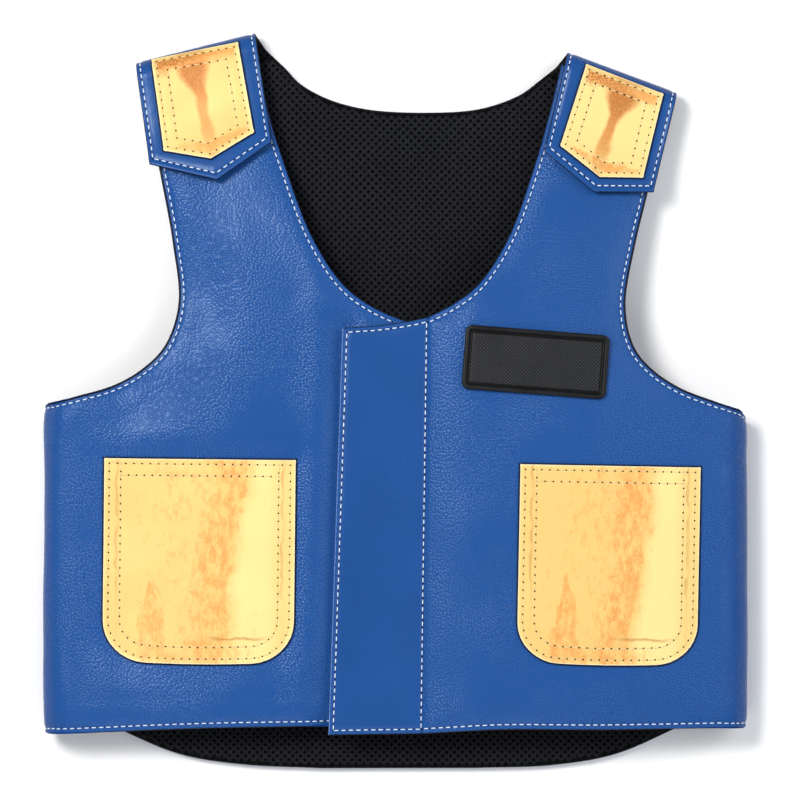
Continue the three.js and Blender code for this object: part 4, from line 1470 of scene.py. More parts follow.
def lattice_cells(outline, half):
    """Numbers of the cells of a mesh lattice over an outline, and which of them lie whole inside it."""
    reach = int(np.abs(outline).max() * LATTICE_REACH / half)
    first, second = np.meshgrid(np.arange(-reach, reach), np.arange(-reach, reach), indexing="ij")
    corner_x = half * (first + second + 1)
    corner_y = half * (first - second)
    corners = np.column_stack((corner_x.ravel(), corner_y.ravel()))
    good = lies_inside(corners, outline)
    good[good] = distance_to(corners[good], [closed_line(outline)]) > MESH_BORDER
    good = good.reshape(first.shape)
    whole = np.zeros_like(good)
    whole[1:, 1:] = good[1:, 1:] & good[:-1, 1:] & good[1:, :-1] & good[:-1, :-1]
    return first, second, whole


def add_face_sheet(build, spots, heights, corner_lists):
    """Adds faces on new points of a mesh that is being built."""
    points = [build.verts.new((x * MM, y * MM, z * MM)) for (x, y), z in zip(spots, heights)]
    for corners in corner_lists:
        build.faces.new([points[corner] for corner in corners])


def add_mesh_border(build, outline, first, second, whole, half, top):
    """Fills the lining between its whole cells and its outline, where the mesh is cut off flat."""
    rim = [edge for edge in build.edges if edge.is_boundary]
    rim_points = {vertex for edge in rim for vertex in edge.verts}
    rim_points = sorted(rim_points, key=lambda vertex: vertex.index)
    order = {vertex: number for number, vertex in enumerate(rim_points)}
    flat = [vertex.co.xy for vertex in rim_points] + [Vector(point * MM) for point in outline]
    count = len(rim_points)
    loop = [(count + step, count + (step + 1) % len(outline)) for step in range(len(outline))]
    edges = [tuple(order[vertex] for vertex in edge.verts) for edge in rim] + loop
    made = delaunay_2d_cdt(flat, edges, [], 0, MESH_CDT_MARGIN)
    spots = np.array([tuple(point) for point in made[0]]) / MM
    triangles = np.array(made[2])
    middles = spots[triangles].mean(1)
    cell_first = np.rint((middles[:, 0] + middles[:, 1]) / (2 * half)).astype(int) - first.min()
    cell_second = np.rint((middles[:, 0] - middles[:, 1]) / (2 * half)).astype(int) - second.min()
    border = lies_inside(middles, outline) & ~whole[cell_first, cell_second]
    on_outline = distance_to(spots, [closed_line(outline)]) < MERGE_DISTANCE / 2
    heights = np.where(on_outline, top - MESH_EDGE_DROP, top)
    add_face_sheet(build, spots, heights, triangles[border])


def add_lining_base(build, outline, bottom, top):
    """Closes the lining with a flat underside and a wall round its outline."""
    count = len(outline)
    base = delaunay_2d_cdt([Vector(point) for point in outline], [], [list(range(count))], 1, CDT_MARGIN)
    turned = [corners[::-1] for corners in base[2]]
    add_face_sheet(build, base[0], [bottom] * len(base[0]), turned)
    walls = [(here, count + here, count + (here + 1) % count, (here + 1) % count) for here in range(count)]
    add_face_sheet(build, [*outline, *outline], [top - MESH_EDGE_DROP] * count + [bottom] * count, walls)
    merge_points(build)
    loose = [vertex for vertex in build.verts if not vertex.link_faces]
    bmesh.ops.delete(build, geom=loose, context="VERTS")


def make_lining(sizes, colours):
    """The black air-mesh lining of the back, with a pit for each hole of the mesh."""
    half = sizes.mesh_pitch / MM / 2
    outline = moved_in(joined(back_lines((LINING_END_DEPTH, BACK_SEAM_DEPTH))["loop"]), LINING_INSET)
    first, second, whole = lattice_cells(outline, half)
    bottom = BACK_THICKNESS + PIECE_GAP
    top = bottom + LINING_THICKNESS
    centre_x = half * (first + second)[whole]
    centre_y = half * (first - second)[whole]
    # A cell reaches one half width from its centre along X and along Y
    centres = np.column_stack((centre_x, centre_y, np.full(len(centre_x), top)))
    material = pitted_mesh(colours, math.pi / (half * MM))
    inputs = {"Half width": half * MM, "Hole share": sizes.mesh_hole, "Depth": sizes.mesh_depth}
    cells = grown("mesh_cells", centres, pit_tree(material), inputs)
    build = bmesh.new()
    build.from_mesh(cells)
    bpy.data.meshes.remove(cells)
    merge_points(build)
    add_mesh_border(build, outline, first, second, whole, half, top)
    add_lining_base(build, outline, bottom, top)
    spots = np.array([tuple(vertex.co.xy) for vertex in build.verts]) / MM
    inland = smooth_step(distance_to(spots, [closed_line(outline)]), *MESH_SWAY["fade"]) * MESH_SWAY["reach"]
    sway = [soft_hills(spots, hills) * inland for hills in MESH_SWAY_HILLS]
    for vertex, x, y in zip(build.verts, *sway):
        vertex.co.x += x * MM
        vertex.co.y += y * MM
    mesh = bpy.data.meshes.new(LINING_NAME)
    build.to_mesh(mesh)
    build.free()
    keep_places(mesh, "mesh_place", flat_places(spots))
    mesh.materials.clear()
    mesh.materials.append(material)
    mesh.shade_smooth()
    piece = placed(LINING_NAME, mesh, "black_mesh", "back_lining")


# Shoulder straps


def strap_seam(side, depth):
    """Where the lower part of a shoulder strap starts and ends along the fold, at a depth below it."""
    corners = side.pentagon(TAB)
    ends = []
    for name in ("inner", "outer"):
        fold = corners["fold " + name]
        corner = corners[name + " corner"]
        ends.append(fold[0] + (corner[0] - fold[0]) * depth / corner[1])
    flares = (NECK_FLARE["below"], NECK_FLARE["seam"])
    flare = np.interp(depth, (FOLD_RADIUS, SHOULDER_SEAM_DEPTH), flares)
    return ends[0] - flare, ends[1]


def strap_lines(side):
    """Edges of a strap in its flat pattern: along the fold, and over the surface from the top of the fold."""
    corners = side.pentagon(TAB)
    lowered = {name: np.array((place[0], place[1] - FOLD_RADIUS)) for name, place in corners.items()}
    seam_inner, seam_outer = strap_seam(side, SHOULDER_SEAM_DEPTH)
    end = -FOLD_ARC - (SHOULDER_SEAM_DEPTH - FOLD_RADIUS)

    def long_edge(fold, corner, flare, seam):
        share = FOLD_RADIUS / corners[corner][1]
        start = corners[fold][0] * (1 - share) + corners[corner][0] * share
        line = [lowered[corner], (start, 0)]
        for angle in np.linspace(0, math.pi, FOLD_POINTS)[1:]:
            crest = math.sin(angle)
            spread = flare * (1 - crest) if angle > math.pi / 2 else 0
            line.append((start * (1 - crest) + corners[fold][0] * crest - spread, -FOLD_RADIUS * angle))
        line.append((seam, end))
        return even_line(np.array([tuple(point) for point in line]), LINE_STEP)

    return {
        "outer": long_edge("fold outer", "outer corner", 0, seam_outer),
        "inner": long_edge("fold inner", "inner corner", NECK_FLARE["below"], seam_inner),
        "seam": even_line([(seam_inner, end), (seam_outer, end)], LINE_STEP),
        "inner point": even_line([lowered["inner corner"], lowered["tip"]], LINE_STEP),
        "outer point": even_line([lowered["tip"], lowered["outer corner"]], LINE_STEP),
    }


def strap_points(side, pattern, lift, sizes):
    """Points of a strap a lift above its outer face, for places of its flat pattern."""
    along, run = pattern.T
    front = run >= 0
    flat_spots = side.shoulder_spot(along, FOLD_RADIUS + np.maximum(run, 0))
    heights = side.front_height(flat_spots) + PIECE_GAP + TAB_THICKNESS
    tip_lift = sizes.tab_lift / MM * smooth_step(run, *TAB_LIFT_FADE)
    angle = np.clip(-run / FOLD_RADIUS, 0, math.pi)
    returned = np.clip(-run - FOLD_ARC, 0, None)
    radius = FOLD_RADIUS + lift
    bent_spots = side.shoulder_spot(along, FOLD_RADIUS - radius * np.sin(angle) + returned)
    bent_heights = FOLD_RADIUS + radius * np.cos(angle)
    spots = np.where(front[:, None], flat_spots, bent_spots)
    return np.column_stack((spots, np.where(front, heights + tip_lift + lift, bent_heights)))


def strap_ripple(pattern):
    """Slow ripples of a strap on the front, for places of its flat pattern."""
    hills = soft_hills(pattern, STRAP_RIPPLE)
    return STRAP_RIPPLE["height"] * hills * smooth_step(pattern[:, 1], *STRAP_RIPPLE["fade"])


def make_strap(side, sizes, colours):
    """A shoulder strap: from its seam on the back, over the fold and down to its pointed tab."""
    lines = strap_lines(side)
    points_of_tab = [lines["inner point"], lines["outer point"]]
    outline = joined([*points_of_tab, lines["outer"], lines["seam"][::-1], lines["inner"][::-1]])
    if signed_area(outline) < 0:
        outline = outline[::-1]
    pattern, triangles = fill_outline(outline, SHEET_ROWS, SHEET_SPACING)
    long_sides = [lines["outer"], lines["inner"]]
    from_edge = distance_to(pattern, [*long_sides, *points_of_tab])
    lip = rounding(from_edge, TAB_THICKNESS / 2)
    sides = distance_to(pattern, long_sides) - STRAP_SIDE_INSET
    ends = distance_to(pattern, points_of_tab) - STRAP_END_INSET
    side_row = bell(sides, STRAP_GROOVE_WIDTH) * (ends > -STRAP_END_REACH)
    end_row = bell(ends, STRAP_GROOVE_WIDTH) * (sides > -STRAP_END_REACH)
    groove = sizes.groove / MM * np.maximum(side_row, end_row)
    ripple = strap_ripple(pattern)
    outer = strap_points(side, pattern, ripple - lip - groove, sizes)
    inner = strap_points(side, pattern, ripple - TAB_THICKNESS + lip, sizes)
    # Along the fold and down towards the chest is a left-handed pair on the wearer's left
    shell = closed_shell(outer, inner, triangles, side.sign > 0)
    # Dark band at the edges of the strap, partly edge paint and partly painted shade
    painted = face_middles(from_edge, triangles) < EDGE_PAINT
    piece = make_piece(
        STRAP_NAMES[side.name],
        shell,
        [smooth_leather(colours), mesh_fabric(colours), dark_edge(colours)],
        (np.where(painted, 2, 0), 1, 2),
        f"shoulder_tab_{side.name}",
        "blue_leather",
        "flat_place",
        flat_places(pattern),
    )


# Gold patches and badge


def turned_places(patch, places):
    """Places of a patch, given in its own directions, as spots on the vest."""
    angle = math.radians(patch["tilt"])
    turn = np.array(((math.cos(angle), math.sin(angle)), (-math.sin(angle), math.cos(angle))))
    return places @ turn + np.array(patch["centre"])


def corner_arc(centre, radius, start):
    """A quarter of a circle, counterclockwise from a start angle in degrees."""
    angles = np.radians(np.linspace(start, start + 90, ARC_POINTS))
    return np.column_stack((centre[0] + radius * np.cos(angles), centre[1] + radius * np.sin(angles)))


def chest_outline(patch, inset):
    """Lines round a chest patch in its own directions, counterclockwise from its upper left corner."""
    half = patch["width"] / 2 - inset
    top = patch["height"] / 2 - inset
    radius = patch["corner"] - inset
    left_arc = corner_arc((radius - half, radius - top), radius, 180)
    right_arc = corner_arc((half - radius, radius - top), radius, 270)
    round_line = even_line(np.vstack(((-half, top), left_arc, right_arc, (half, top))), LINE_STEP)
    low = np.clip(-round_line[:, 1] / top, 0, 1) ** 3
    round_line[:, 1] += PATCH_SAG * low * (round_line[:, 0] / half) ** 2
    return [round_line, even_line([(half, top), (-half, top)], LINE_STEP)]


def patch_relief(edge, sizes):
    """How far the face of a sewn patch lies below its full thickness, at a distance from its edge."""
    rows = [bell(edge - row, PATCH_ROW_WIDTH) for row in PATCH_ROWS]
    return sizes.patch_groove / MM * sum(rows)


def make_gold_patch(name, node, shell, edge, triangles, places, gold, colours):
    """A gold patch: foil on its face, a pale lip at its edge and a dark rim round it and below it, partly
    dark cut leather and partly painted shadow round the patch.
    """
    middle = face_middles(edge, triangles)
    face = np.where(middle < DARK_LIP, 2, np.where(middle < PALE_LIP, 1, 0))
    return make_piece(
        name,
        shell,
        [gold, pale_edge(colours), dark_edge(colours)],
        (face, 2, 2),
        node,
        "gold_foil_leather",
        "patch_place",
        np.column_stack((places, edge / EDGE_PLACE_REACH)),
    )


def make_chest_patch(side, sizes, colours):
    """A chest patch, sewn on the padding of its front and following it."""
    patch = CHEST_PATCH[side.name]
    lines = chest_outline(patch, -CUT_EDGE)
    pattern, triangles = fill_outline(joined(lines), SHEET_ROWS, SHEET_SPACING)
    edge = distance_to(pattern, lines)
    lip = rounding(edge, PATCH_THICKNESS / 2)
    spots = turned_places(patch, pattern)
    base = heights_on(surface_of(FRONT_NAMES[side.name]), spots) + PIECE_GAP
    wrinkle = PATCH_WRINKLE["height"] * soft_hills(pattern, PATCH_WRINKLE)
    wrinkle *= smooth_step(edge, *PATCH_WRINKLE["fade"])
    relief = patch_relief(edge - CUT_EDGE, sizes)
    outer = np.column_stack((spots, base + PATCH_THICKNESS - lip - relief + wrinkle))
    inner = np.column_stack((spots, base + lip))
    shell = closed_shell(outer, inner, triangles, False)
    places = pattern / (patch["width"], patch["height"]) + 0.5
    name = CHEST_GOLD_NAMES[side.name]
    node = f"chest_patch_{side.name}"
    piece = make_gold_patch(name, node, shell, edge, triangles, places, chest_gold(colours), colours)


def shoulder_patch_corners(side, inset):
    """Corners of a shoulder patch in the flat pattern of its strap, moved in, counterclockwise."""
    corners = []
    for along, depth in side.pentagon(SHOULDER_PATCH).values():
        bend = math.asin(min(1, max(0, FOLD_RADIUS - depth) / FOLD_RADIUS))
        corners.append((along, depth - FOLD_RADIUS if depth > FOLD_RADIUS else -bend * FOLD_RADIUS))
    ring = np.array([corners[index] for index in (0, 2, 3, 4, 1)])
    if signed_area(ring) < 0:
        ring = ring[::-1]
    return moved_in(ring, inset) if inset else ring


def straight_sides(corners, step):
    """The straight sides between corners that follow each other round an outline."""
    return [even_line([start, end], step) for start, end in zip(corners, np.roll(corners, -1, axis=0))]


def make_shoulder_patch(side, sizes, colours):
    """A shoulder patch, sewn on its strap and bent over the fold with it."""
    corners = shoulder_patch_corners(side, -CUT_EDGE)
    lines = straight_sides(corners, LINE_STEP)
    pattern, triangles = fill_outline(joined(lines), SHEET_ROWS, SHEET_SPACING)
    edge = distance_to(pattern, lines)
    lip = rounding(edge, PATCH_THICKNESS / 2)
    ripple = strap_ripple(pattern)
    face = PIECE_GAP + PATCH_THICKNESS - lip - patch_relief(edge - CUT_EDGE, sizes)
    outer = strap_points(side, pattern, ripple + face, sizes)
    inner = strap_points(side, pattern, ripple + PIECE_GAP + lip, sizes)
    shell = closed_shell(outer, inner, triangles, side.sign > 0)
    low = pattern.min(0)
    high = pattern.max(0)
    along, down = ((pattern - low) / (high - low)).T
    places = np.column_stack((along if side.sign > 0 else 1 - along, 1 - down))
    name = SHOULDER_GOLD_NAMES[side.name]
    node = f"shoulder_patch_{side.name}"
    piece = make_gold_patch(name, node, shell, edge, triangles, places, shoulder_gold(colours), colours)


def rounded_rectangle(width, height, radius):
    """Outline of a rectangle with rounded corners, counterclockwise, as one closed line."""
    x = width / 2 - radius
    y = height / 2 - radius
    quarters = [(x, y, 0), (-x, y, 90), (-x, -y, 180), (x, -y, 270)]
    arcs = [corner_arc((across, up), radius, start) for across, up, start in quarters]
    ring = np.vstack([*arcs, arcs[0][:1]])
    return even_line(ring, BADGE_STEP)


def make_badge(colours):
    """The rubber badge: a raised rim, a moulded channel inside it and a flat field."""
    ring = rounded_rectangle(BADGE["width"], BADGE["height"], BADGE["corner"])
    pattern, triangles = fill_outline(ring[:-1], BADGE_ROWS, BADGE_SPACING)
    edge = distance_to(pattern, [ring])
    rim = BADGE_RIM_RISE * (1 - smooth_step(edge, BADGE_RIM_TOP, BADGE_RIM_WIDTH))
    channel = BADGE_CHANNEL["depth"] * bell(edge - BADGE_CHANNEL["inset"], BADGE_CHANNEL["width"])
    face = BADGE_FIELD_THICKNESS + rim - channel - rounding(edge, BADGE_ROUNDING["face"])
    spots = turned_places(BADGE, pattern)
    base = heights_on(surface_of(FRONT_NAMES["left"]), spots)
    # The stiff badge bends only slowly, so it lies on a smooth bowl fitted to the padding
    bowl = np.column_stack((np.ones(len(pattern)), pattern, pattern**2))
    settled = bowl @ np.linalg.lstsq(bowl, base, rcond=None)[0]
    settled = np.maximum(settled, base) + PIECE_GAP
    outer = np.column_stack((spots, settled + face))
    inner = np.column_stack((spots, settled + rounding(edge, BADGE_ROUNDING["underside"])))
    make_piece(
        BADGE_NAME,
        closed_shell(outer, inner, triangles, False),
        [badge_rubber(colours)],
        (0, 0, 0),
        "badge",
        "black_rubber",
        "patch_place",
        np.column_stack((pattern / (BADGE["width"], BADGE["height"]), edge / EDGE_PLACE_REACH)),
    )


# Stitching


def seam_direction(tree, name):
    """A direction that is kept at each point of a seam."""
    values = {"Name": name}
    return add_node(tree, "GeometryNodeInputNamedAttribute", values, data_type="FLOAT_VECTOR")[0]


def stitch_tree(name, material):
    """Geometry nodes that put a small rounded shape on each point, lying along its seam."""
    tree, given = repeat_tree(name, ("Length", "Width", "Height"))
    ball_values = {"Segments": 8, "Rings": 5, "Radius": 0.5}
    ball = add_node(tree, "GeometryNodeMeshUVSphere", ball_values)["Mesh"]
    size_values = {"X": given["Length"], "Y": given["Width"], "Z": given["Height"]}
    size = add_node(tree, "ShaderNodeCombineXYZ", size_values)[0]
    shape = add_node(tree, "GeometryNodeTransform", {"Geometry": ball, "Scale": size})[0]
    smooth = add_node(tree, "GeometryNodeSetShadeSmooth", {"Geometry": shape})[0]
    turn = "FunctionNodeAlignRotationToVector"
    along = add_node(tree, turn, {"Vector": seam_direction(tree, "seam")}, axis="X")[0]
    upright_values = {"Rotation": along, "Vector": seam_direction(tree, "away")}
    upright = add_node(tree, turn, upright_values, axis="Z", pivot_axis="X")[0]
    values = {"Points": given["Geometry"], "Instance": smooth, "Rotation": upright}
    return spread_on_points(tree, values, material)


def stitch_places(surface, line, pitch):
    """Places, directions and outward normals of stitches and of the holes between them, on a surface."""
    lengths = run_lengths(line)
    count = max(1, round(lengths[-1] / pitch))
    wanted = {"stitch": np.arange(count) + 0.5, "hole": np.arange(count + 1)}
    rows = {}
    for kind, numbers in wanted.items():
        places = numbers * lengths[-1] / count
        ahead = places_along(line, lengths, places + SEAM_LOOK)
        seam = ahead - places_along(line, lengths, places - SEAM_LOOK)
        hits = [surface.find_nearest(Vector(point * MM)) for point in places_along(line, lengths, places)]
        spots = np.array([tuple(hit[0]) for hit in hits]) / MM
        away = np.array([tuple(hit[1]) for hit in hits])
        rows[kind] = (spots, seam, away)
    return rows


def sew(name, slot, runs, sizes, thread, hole):
    """Stitches and needle holes along runs of (surface, line, pitch), as two pieces."""
    parts = {"stitch": [], "hole": []}
    for surface, line, pitch in runs:
        for kind, row in stitch_places(surface, line, pitch).items():
            parts[kind].append(row)
    stitch_size = (sizes.stitch_length, sizes.stitch_width, sizes.stitch_height)
    hole_size = (sizes.hole_size, sizes.hole_size, sizes.hole_size * HOLE_HEIGHT_SHARE)
    shapes = {
        "stitch": (f"{name}_stitches", stitch_size, thread, STITCH_LIFT),
        "hole": (f"{name}_needle_holes", hole_size, hole, HOLE_LIFT),
    }
    for kind, rows in parts.items():
        full_name, size, material, lift = shapes[kind]
        spots, seam, away = (np.vstack(column) for column in zip(*rows))
        inputs = dict(zip(("Length", "Width", "Height"), size))
        tree = stitch_tree(full_name, material)
        mesh = grown(full_name, spots + lift * away, tree, inputs, {"seam": seam, "away": away})
        placed(full_name, mesh, slot)


def inset_seam(line, loop, inset, reach):
    """The part of an outline, moved in by an inset, that runs beside one of its lines, in its order."""
    moved = moved_in(loop, inset)
    near = distance_to(moved, [line]) < reach * inset
    clear = distance_to(moved, [closed_line(loop)]) > SEAM_BAND["clear"] * inset
    chosen = moved[near & clear]
    along = [np.argmin(np.linalg.norm(line - spot, axis=1)) for spot in chosen]
    return even_line(chosen[np.argsort(along, kind="stable")], SEAM_STEP)


def carried_on(line, reach):
    """A line carried straight on past its end."""
    return np.vstack((line, line[-1] + unit(line[-1] - line[-3]) * reach))


def front_runs(side, sizes):
    """Stitched lines of a padded front."""
    lines = front_lines(side)
    surface = surface_of(FRONT_NAMES[side.name])
    loop = joined(list(lines.values()))
    runs = []
    for name in ("hem", "armhole", "neckline"):
        chosen = inset_seam(lines[name], loop, STITCH_INSET, SEAM_BAND["front"])
        if side.sign < 0 and name in UNDER_FLAP_STITCH_START:
            chosen = chosen[chosen[:, 0] > UNDER_FLAP_STITCH_START[name]]
        if side.sign > 0 and name == "hem":
            chosen = carried_on(chosen[::-1], SEAM_STITCH_REACH)[::-1]
        if side.sign > 0 and name == "neckline":
            chosen = carried_on(chosen, SEAM_STITCH_REACH)
        outer, _, _ = front_layers(side, chosen, lines, sizes)
        runs.append((surface, outer, STITCH_PITCH))
    return runs


def flap_runs():
    """Stitched lines of the flap: along its top, its free edge and its foot, and down the seam."""
    surface = surface_of(FLAP_NAME)
    right = SIDES["right"]
    foot, seam, top, free = flap_lines()
    inset = moved_in(joined([foot, seam, top, free]), FLAP_STITCH_INSET)
    corner_low = len(foot) - 1
    corner_high = corner_low + len(seam) - 1
    corner_top = corner_high + len(top) - 1
    seam_low = foot[-1] + (0, FLAP_STITCH_INSET)
    seam_top = top[0] - (0, FLAP_STITCH_INSET)
    end_shift = (SEAM_STITCH_SHIFT["ends"], 0)
    seam_shift = (SEAM_STITCH_SHIFT["seam"], 0)
    top_line = np.vstack((seam_top - end_shift, inset[corner_high + 2 : corner_top + 1]))
    free_line = np.vstack((inset[corner_top:], inset[:1]))
    foot_line = np.vstack((inset[: corner_low - 1], seam_low - end_shift))
    seam_line = np.vstack((seam_low - seam_shift, seam_top - seam_shift))
    runs = []
    for line in (top_line, free_line, foot_line, seam_line):
        line = even_line(line, SEAM_STEP)
        height = right.front_height(line) + PIECE_GAP + FLAP_THICKNESS
        runs.append((surface, np.column_stack((line, height)), STITCH_PITCH))
    return runs


def meeting_place(first_start, first_end, second_start, second_end):
    """Where two straight lines cross."""
    first = first_end - first_start
    second = second_end - second_start
    share = np.linalg.solve(np.column_stack((first, -second)), second_start - first_start)
    return first_start + share[0] * first


def strap_runs(side, sizes):
    """Stitched lines of a shoulder strap: down both long sides and round its pointed end."""
    lines = strap_lines(side)
    surface = surface_of(STRAP_NAMES[side.name])
    inner = lines["inner"] + (STRAP_SIDE_INSET, 0)
    outer = lines["outer"] - (STRAP_SIDE_INSET, 0)
    points = []
    for name in ("inner point", "outer point"):
        ends = lines[name][[0, -1]]
        direction = unit(ends[1] - ends[0])
        towards = np.array((direction[1], -direction[0]))
        if towards[1] > 0:
            towards = -towards
        points.append(ends + towards * STRAP_END_INSET)
    inner_corner = meeting_place(*points[0], inner[0], inner[STRAP_SIDE_LOOK])
    tip = meeting_place(*points[0], *points[1])
    outer_corner = meeting_place(*points[1], outer[0], outer[STRAP_SIDE_LOOK])
    inner_line = np.vstack((inner_corner, inner[inner[:, 1] < inner_corner[1] - STRAP_CORNER_GAP]))
    outer_line = np.vstack((outer_corner, outer[outer[:, 1] < outer_corner[1] - STRAP_CORNER_GAP]))
    runs = []
    for line in (inner_line, outer_line, (inner_corner, tip), (tip, outer_corner)):
        line = even_line(line, SEAM_STEP)
        runs.append((surface, strap_points(side, line, np.zeros(len(line)), sizes), STITCH_PITCH))
    return runs


def chest_patch_runs(side):
    """Two stitched rows round a chest patch, with the inner row carried up to the outer one."""
    patch = CHEST_PATCH[side.name]
    surface = surface_of(CHEST_GOLD_NAMES[side.name])
    outer_round, outer_top = chest_outline(patch, PATCH_ROWS[0])
    inner_round, inner_top = chest_outline(patch, PATCH_ROWS[1])
    rise = np.array((0.0, PATCH_ROWS[1] - PATCH_ROWS[0]))
    inner_round = np.vstack((inner_round[0] + rise, inner_round, inner_round[-1] + rise))
    runs = []
    for line in (outer_round, outer_top, inner_round, inner_top):
        spots = turned_places(patch, even_line(line, PATCH_SEAM_STEP))
        runs.append((surface, np.column_stack((spots, heights_on(surface, spots))), PATCH_PITCH))
    return runs


def shoulder_patch_runs(side, sizes):
    """Two stitched rows round a shoulder patch."""
    surface = surface_of(SHOULDER_GOLD_NAMES[side.name])
    runs = []
    for inset in SHOULDER_PATCH_ROWS:
        for line in straight_sides(shoulder_patch_corners(side, inset), PATCH_SEAM_STEP):
            lift = np.full(len(line), PIECE_GAP + PATCH_THICKNESS)
            runs.append((surface, strap_points(side, line, lift, sizes), PATCH_PITCH))
    return runs


def back_runs():
    """The stitched line round the leather side of the back."""
    surface = surface_of(BACK_NAME)
    lines = back_lines()
    loop = joined(lines["loop"])
    runs = []
    for line in lines["sewn"]:
        chosen = inset_seam(line, loop, BACK_STITCH_INSET, SEAM_BAND["back"])
        runs.append((surface, np.column_stack((chosen, np.zeros(len(chosen)))), STITCH_PITCH))
    return runs


# Stage


def floor_material(colours):
    """A pale studio floor that can be looked through from below, and lights the underside through itself."""
    finish = Finish("pale_studio_floor", shine=0.1)
    tree = finish.tree
    marks = finish.handled(spots=2.0, smooth=0.85, rough=0.95)
    finish.feed("Base Color", mixed(marks, opaque(colours.floor), darker(colours.floor, 0.995)))
    below = add_node(tree, "ShaderNodeNewGeometry")["Backfacing"]
    ray_length = add_node(tree, "ShaderNodeLightPath")["Ray Length"]
    touching = math_of("LESS_THAN", ray_length, FLOOR_CONTACT)
    clear = add_node(tree, "ShaderNodeBsdfTransparent")[0]
    layers = {0: either_of(below, touching), 1: finish.shader.outputs[0], 2: clear}
    either = add_node(tree, "ShaderNodeMixShader", layers)[0]
    tree.links.new(either, tree.nodes["Material Output"].inputs["Surface"])
    return finish.material


def soft_light(name, place, size, power, colour):
    """A square soft light that shines on the middle of the vest."""
    data = bpy.data.lights.new(name, "AREA")
    data.size = size
    data.energy = power
    data.color = colour
    light = add_object(name, data)
    light.location = place
    light.rotation_euler = (-Vector(place)).to_track_quat("-Z", "Y").to_euler()


def studio_world():
    """Surroundings that are dim straight above and pale near the horizon."""
    world = bpy.data.worlds.new("studio")
    world.use_nodes = True
    tree = world.node_tree
    direction = add_node(tree, "ShaderNodeTexCoord")["Generated"]
    height = parts_of(direction)["Z"]
    share = ranged(height, *LIGHT_FADE)
    colour = mixed(share, HORIZON_LIGHT, OVERHEAD_LIGHT)
    tree.links.new(colour, tree.nodes["Background"].inputs["Color"])
    return world


def make_stage(colours):
    """Floor, light and a camera straight above."""
    scene = bpy.context.scene
    ring = ((-1, -1), (1, -1), (1, 1), (-1, 1))
    corners = [(x * FLOOR_REACH, y * FLOOR_REACH, FLOOR_HEIGHT) for x, y in ring]
    mesh = bpy.data.meshes.new(FLOOR_NAME)
    mesh.from_pydata(corners, [], [(0, 1, 2, 3)])
    mesh.materials.append(floor_material(colours))
    floor = add_object(FLOOR_NAME, mesh)
    scene.world = studio_world()
    for name, values in LIGHTS.items():
        soft_light(name, **values)
    camera_data = bpy.data.cameras.new(CAMERA["name"])
    camera_data.sensor_width = CAMERA["sensor"]
    camera_data.lens = CAMERA["lens"]
    camera_data.clip_end = CAMERA["reach"]
    camera = add_object(CAMERA["name"], camera_data)
    camera.location = CAMERA["place"]
    scene.camera = camera
    scene.view_settings.view_transform = "Standard"
    scene.view_settings.look = "None"


# Sizes, in metres, and colours that a user may change


def length_property(name, description, metres):
    return bpy.props.FloatProperty(name=name, description=description, default=metres, unit="LENGTH")


class VestSizes(bpy.types.PropertyGroup):
    """Sizes of the soft forms and of the stitching."""

    hills: length_property("Padding hills", "Height of the slow hills in the fronts", 0.0014)
    patch_press: length_property("Patch press", "How far a chest patch sinks into the padding", 0.003)
    puff: length_property("Puff", "How far pressure may fill the fronts", 0.0025)
    groove: length_property("Stitch groove", "Depth that stitches pull leather down", 0.0007)
    patch_groove: length_property("Patch groove", "Depth that stitches pull a gold patch down", 0.00015)
    flap_lift: length_property("Flap lift", "How far the free edge of the flap stands off", 0.0009)
    tab_lift: length_property("Tab lift", "How far the end of a shoulder tab stands off", 0.0055)
    mesh_pitch: length_property("Mesh pitch", "Distance between holes of the mesh in a row", 0.0057)
    mesh_hole: bpy.props.FloatProperty(
        name="Mesh hole", description="Share of a mesh cell that is hole", default=0.52, subtype="FACTOR"
    )
    mesh_depth: length_property("Mesh depth", "Depth of the holes of the mesh", 0.0013)
    stitch_length: length_property("Stitch length", "Length of one stitch that shows", 0.0039)
    stitch_width: length_property("Stitch width", "Width of the thread", 0.00088)
    stitch_height: length_property("Stitch height", "Height of the thread", 0.0007)
    hole_size: length_property("Needle hole", "Width of a needle hole", 0.0014)


def colour_property(name, description, colour):
    return bpy.props.FloatVectorProperty(
        name=name, description=description, default=screen_colour(*colour), subtype="COLOR", min=0, max=1
    )


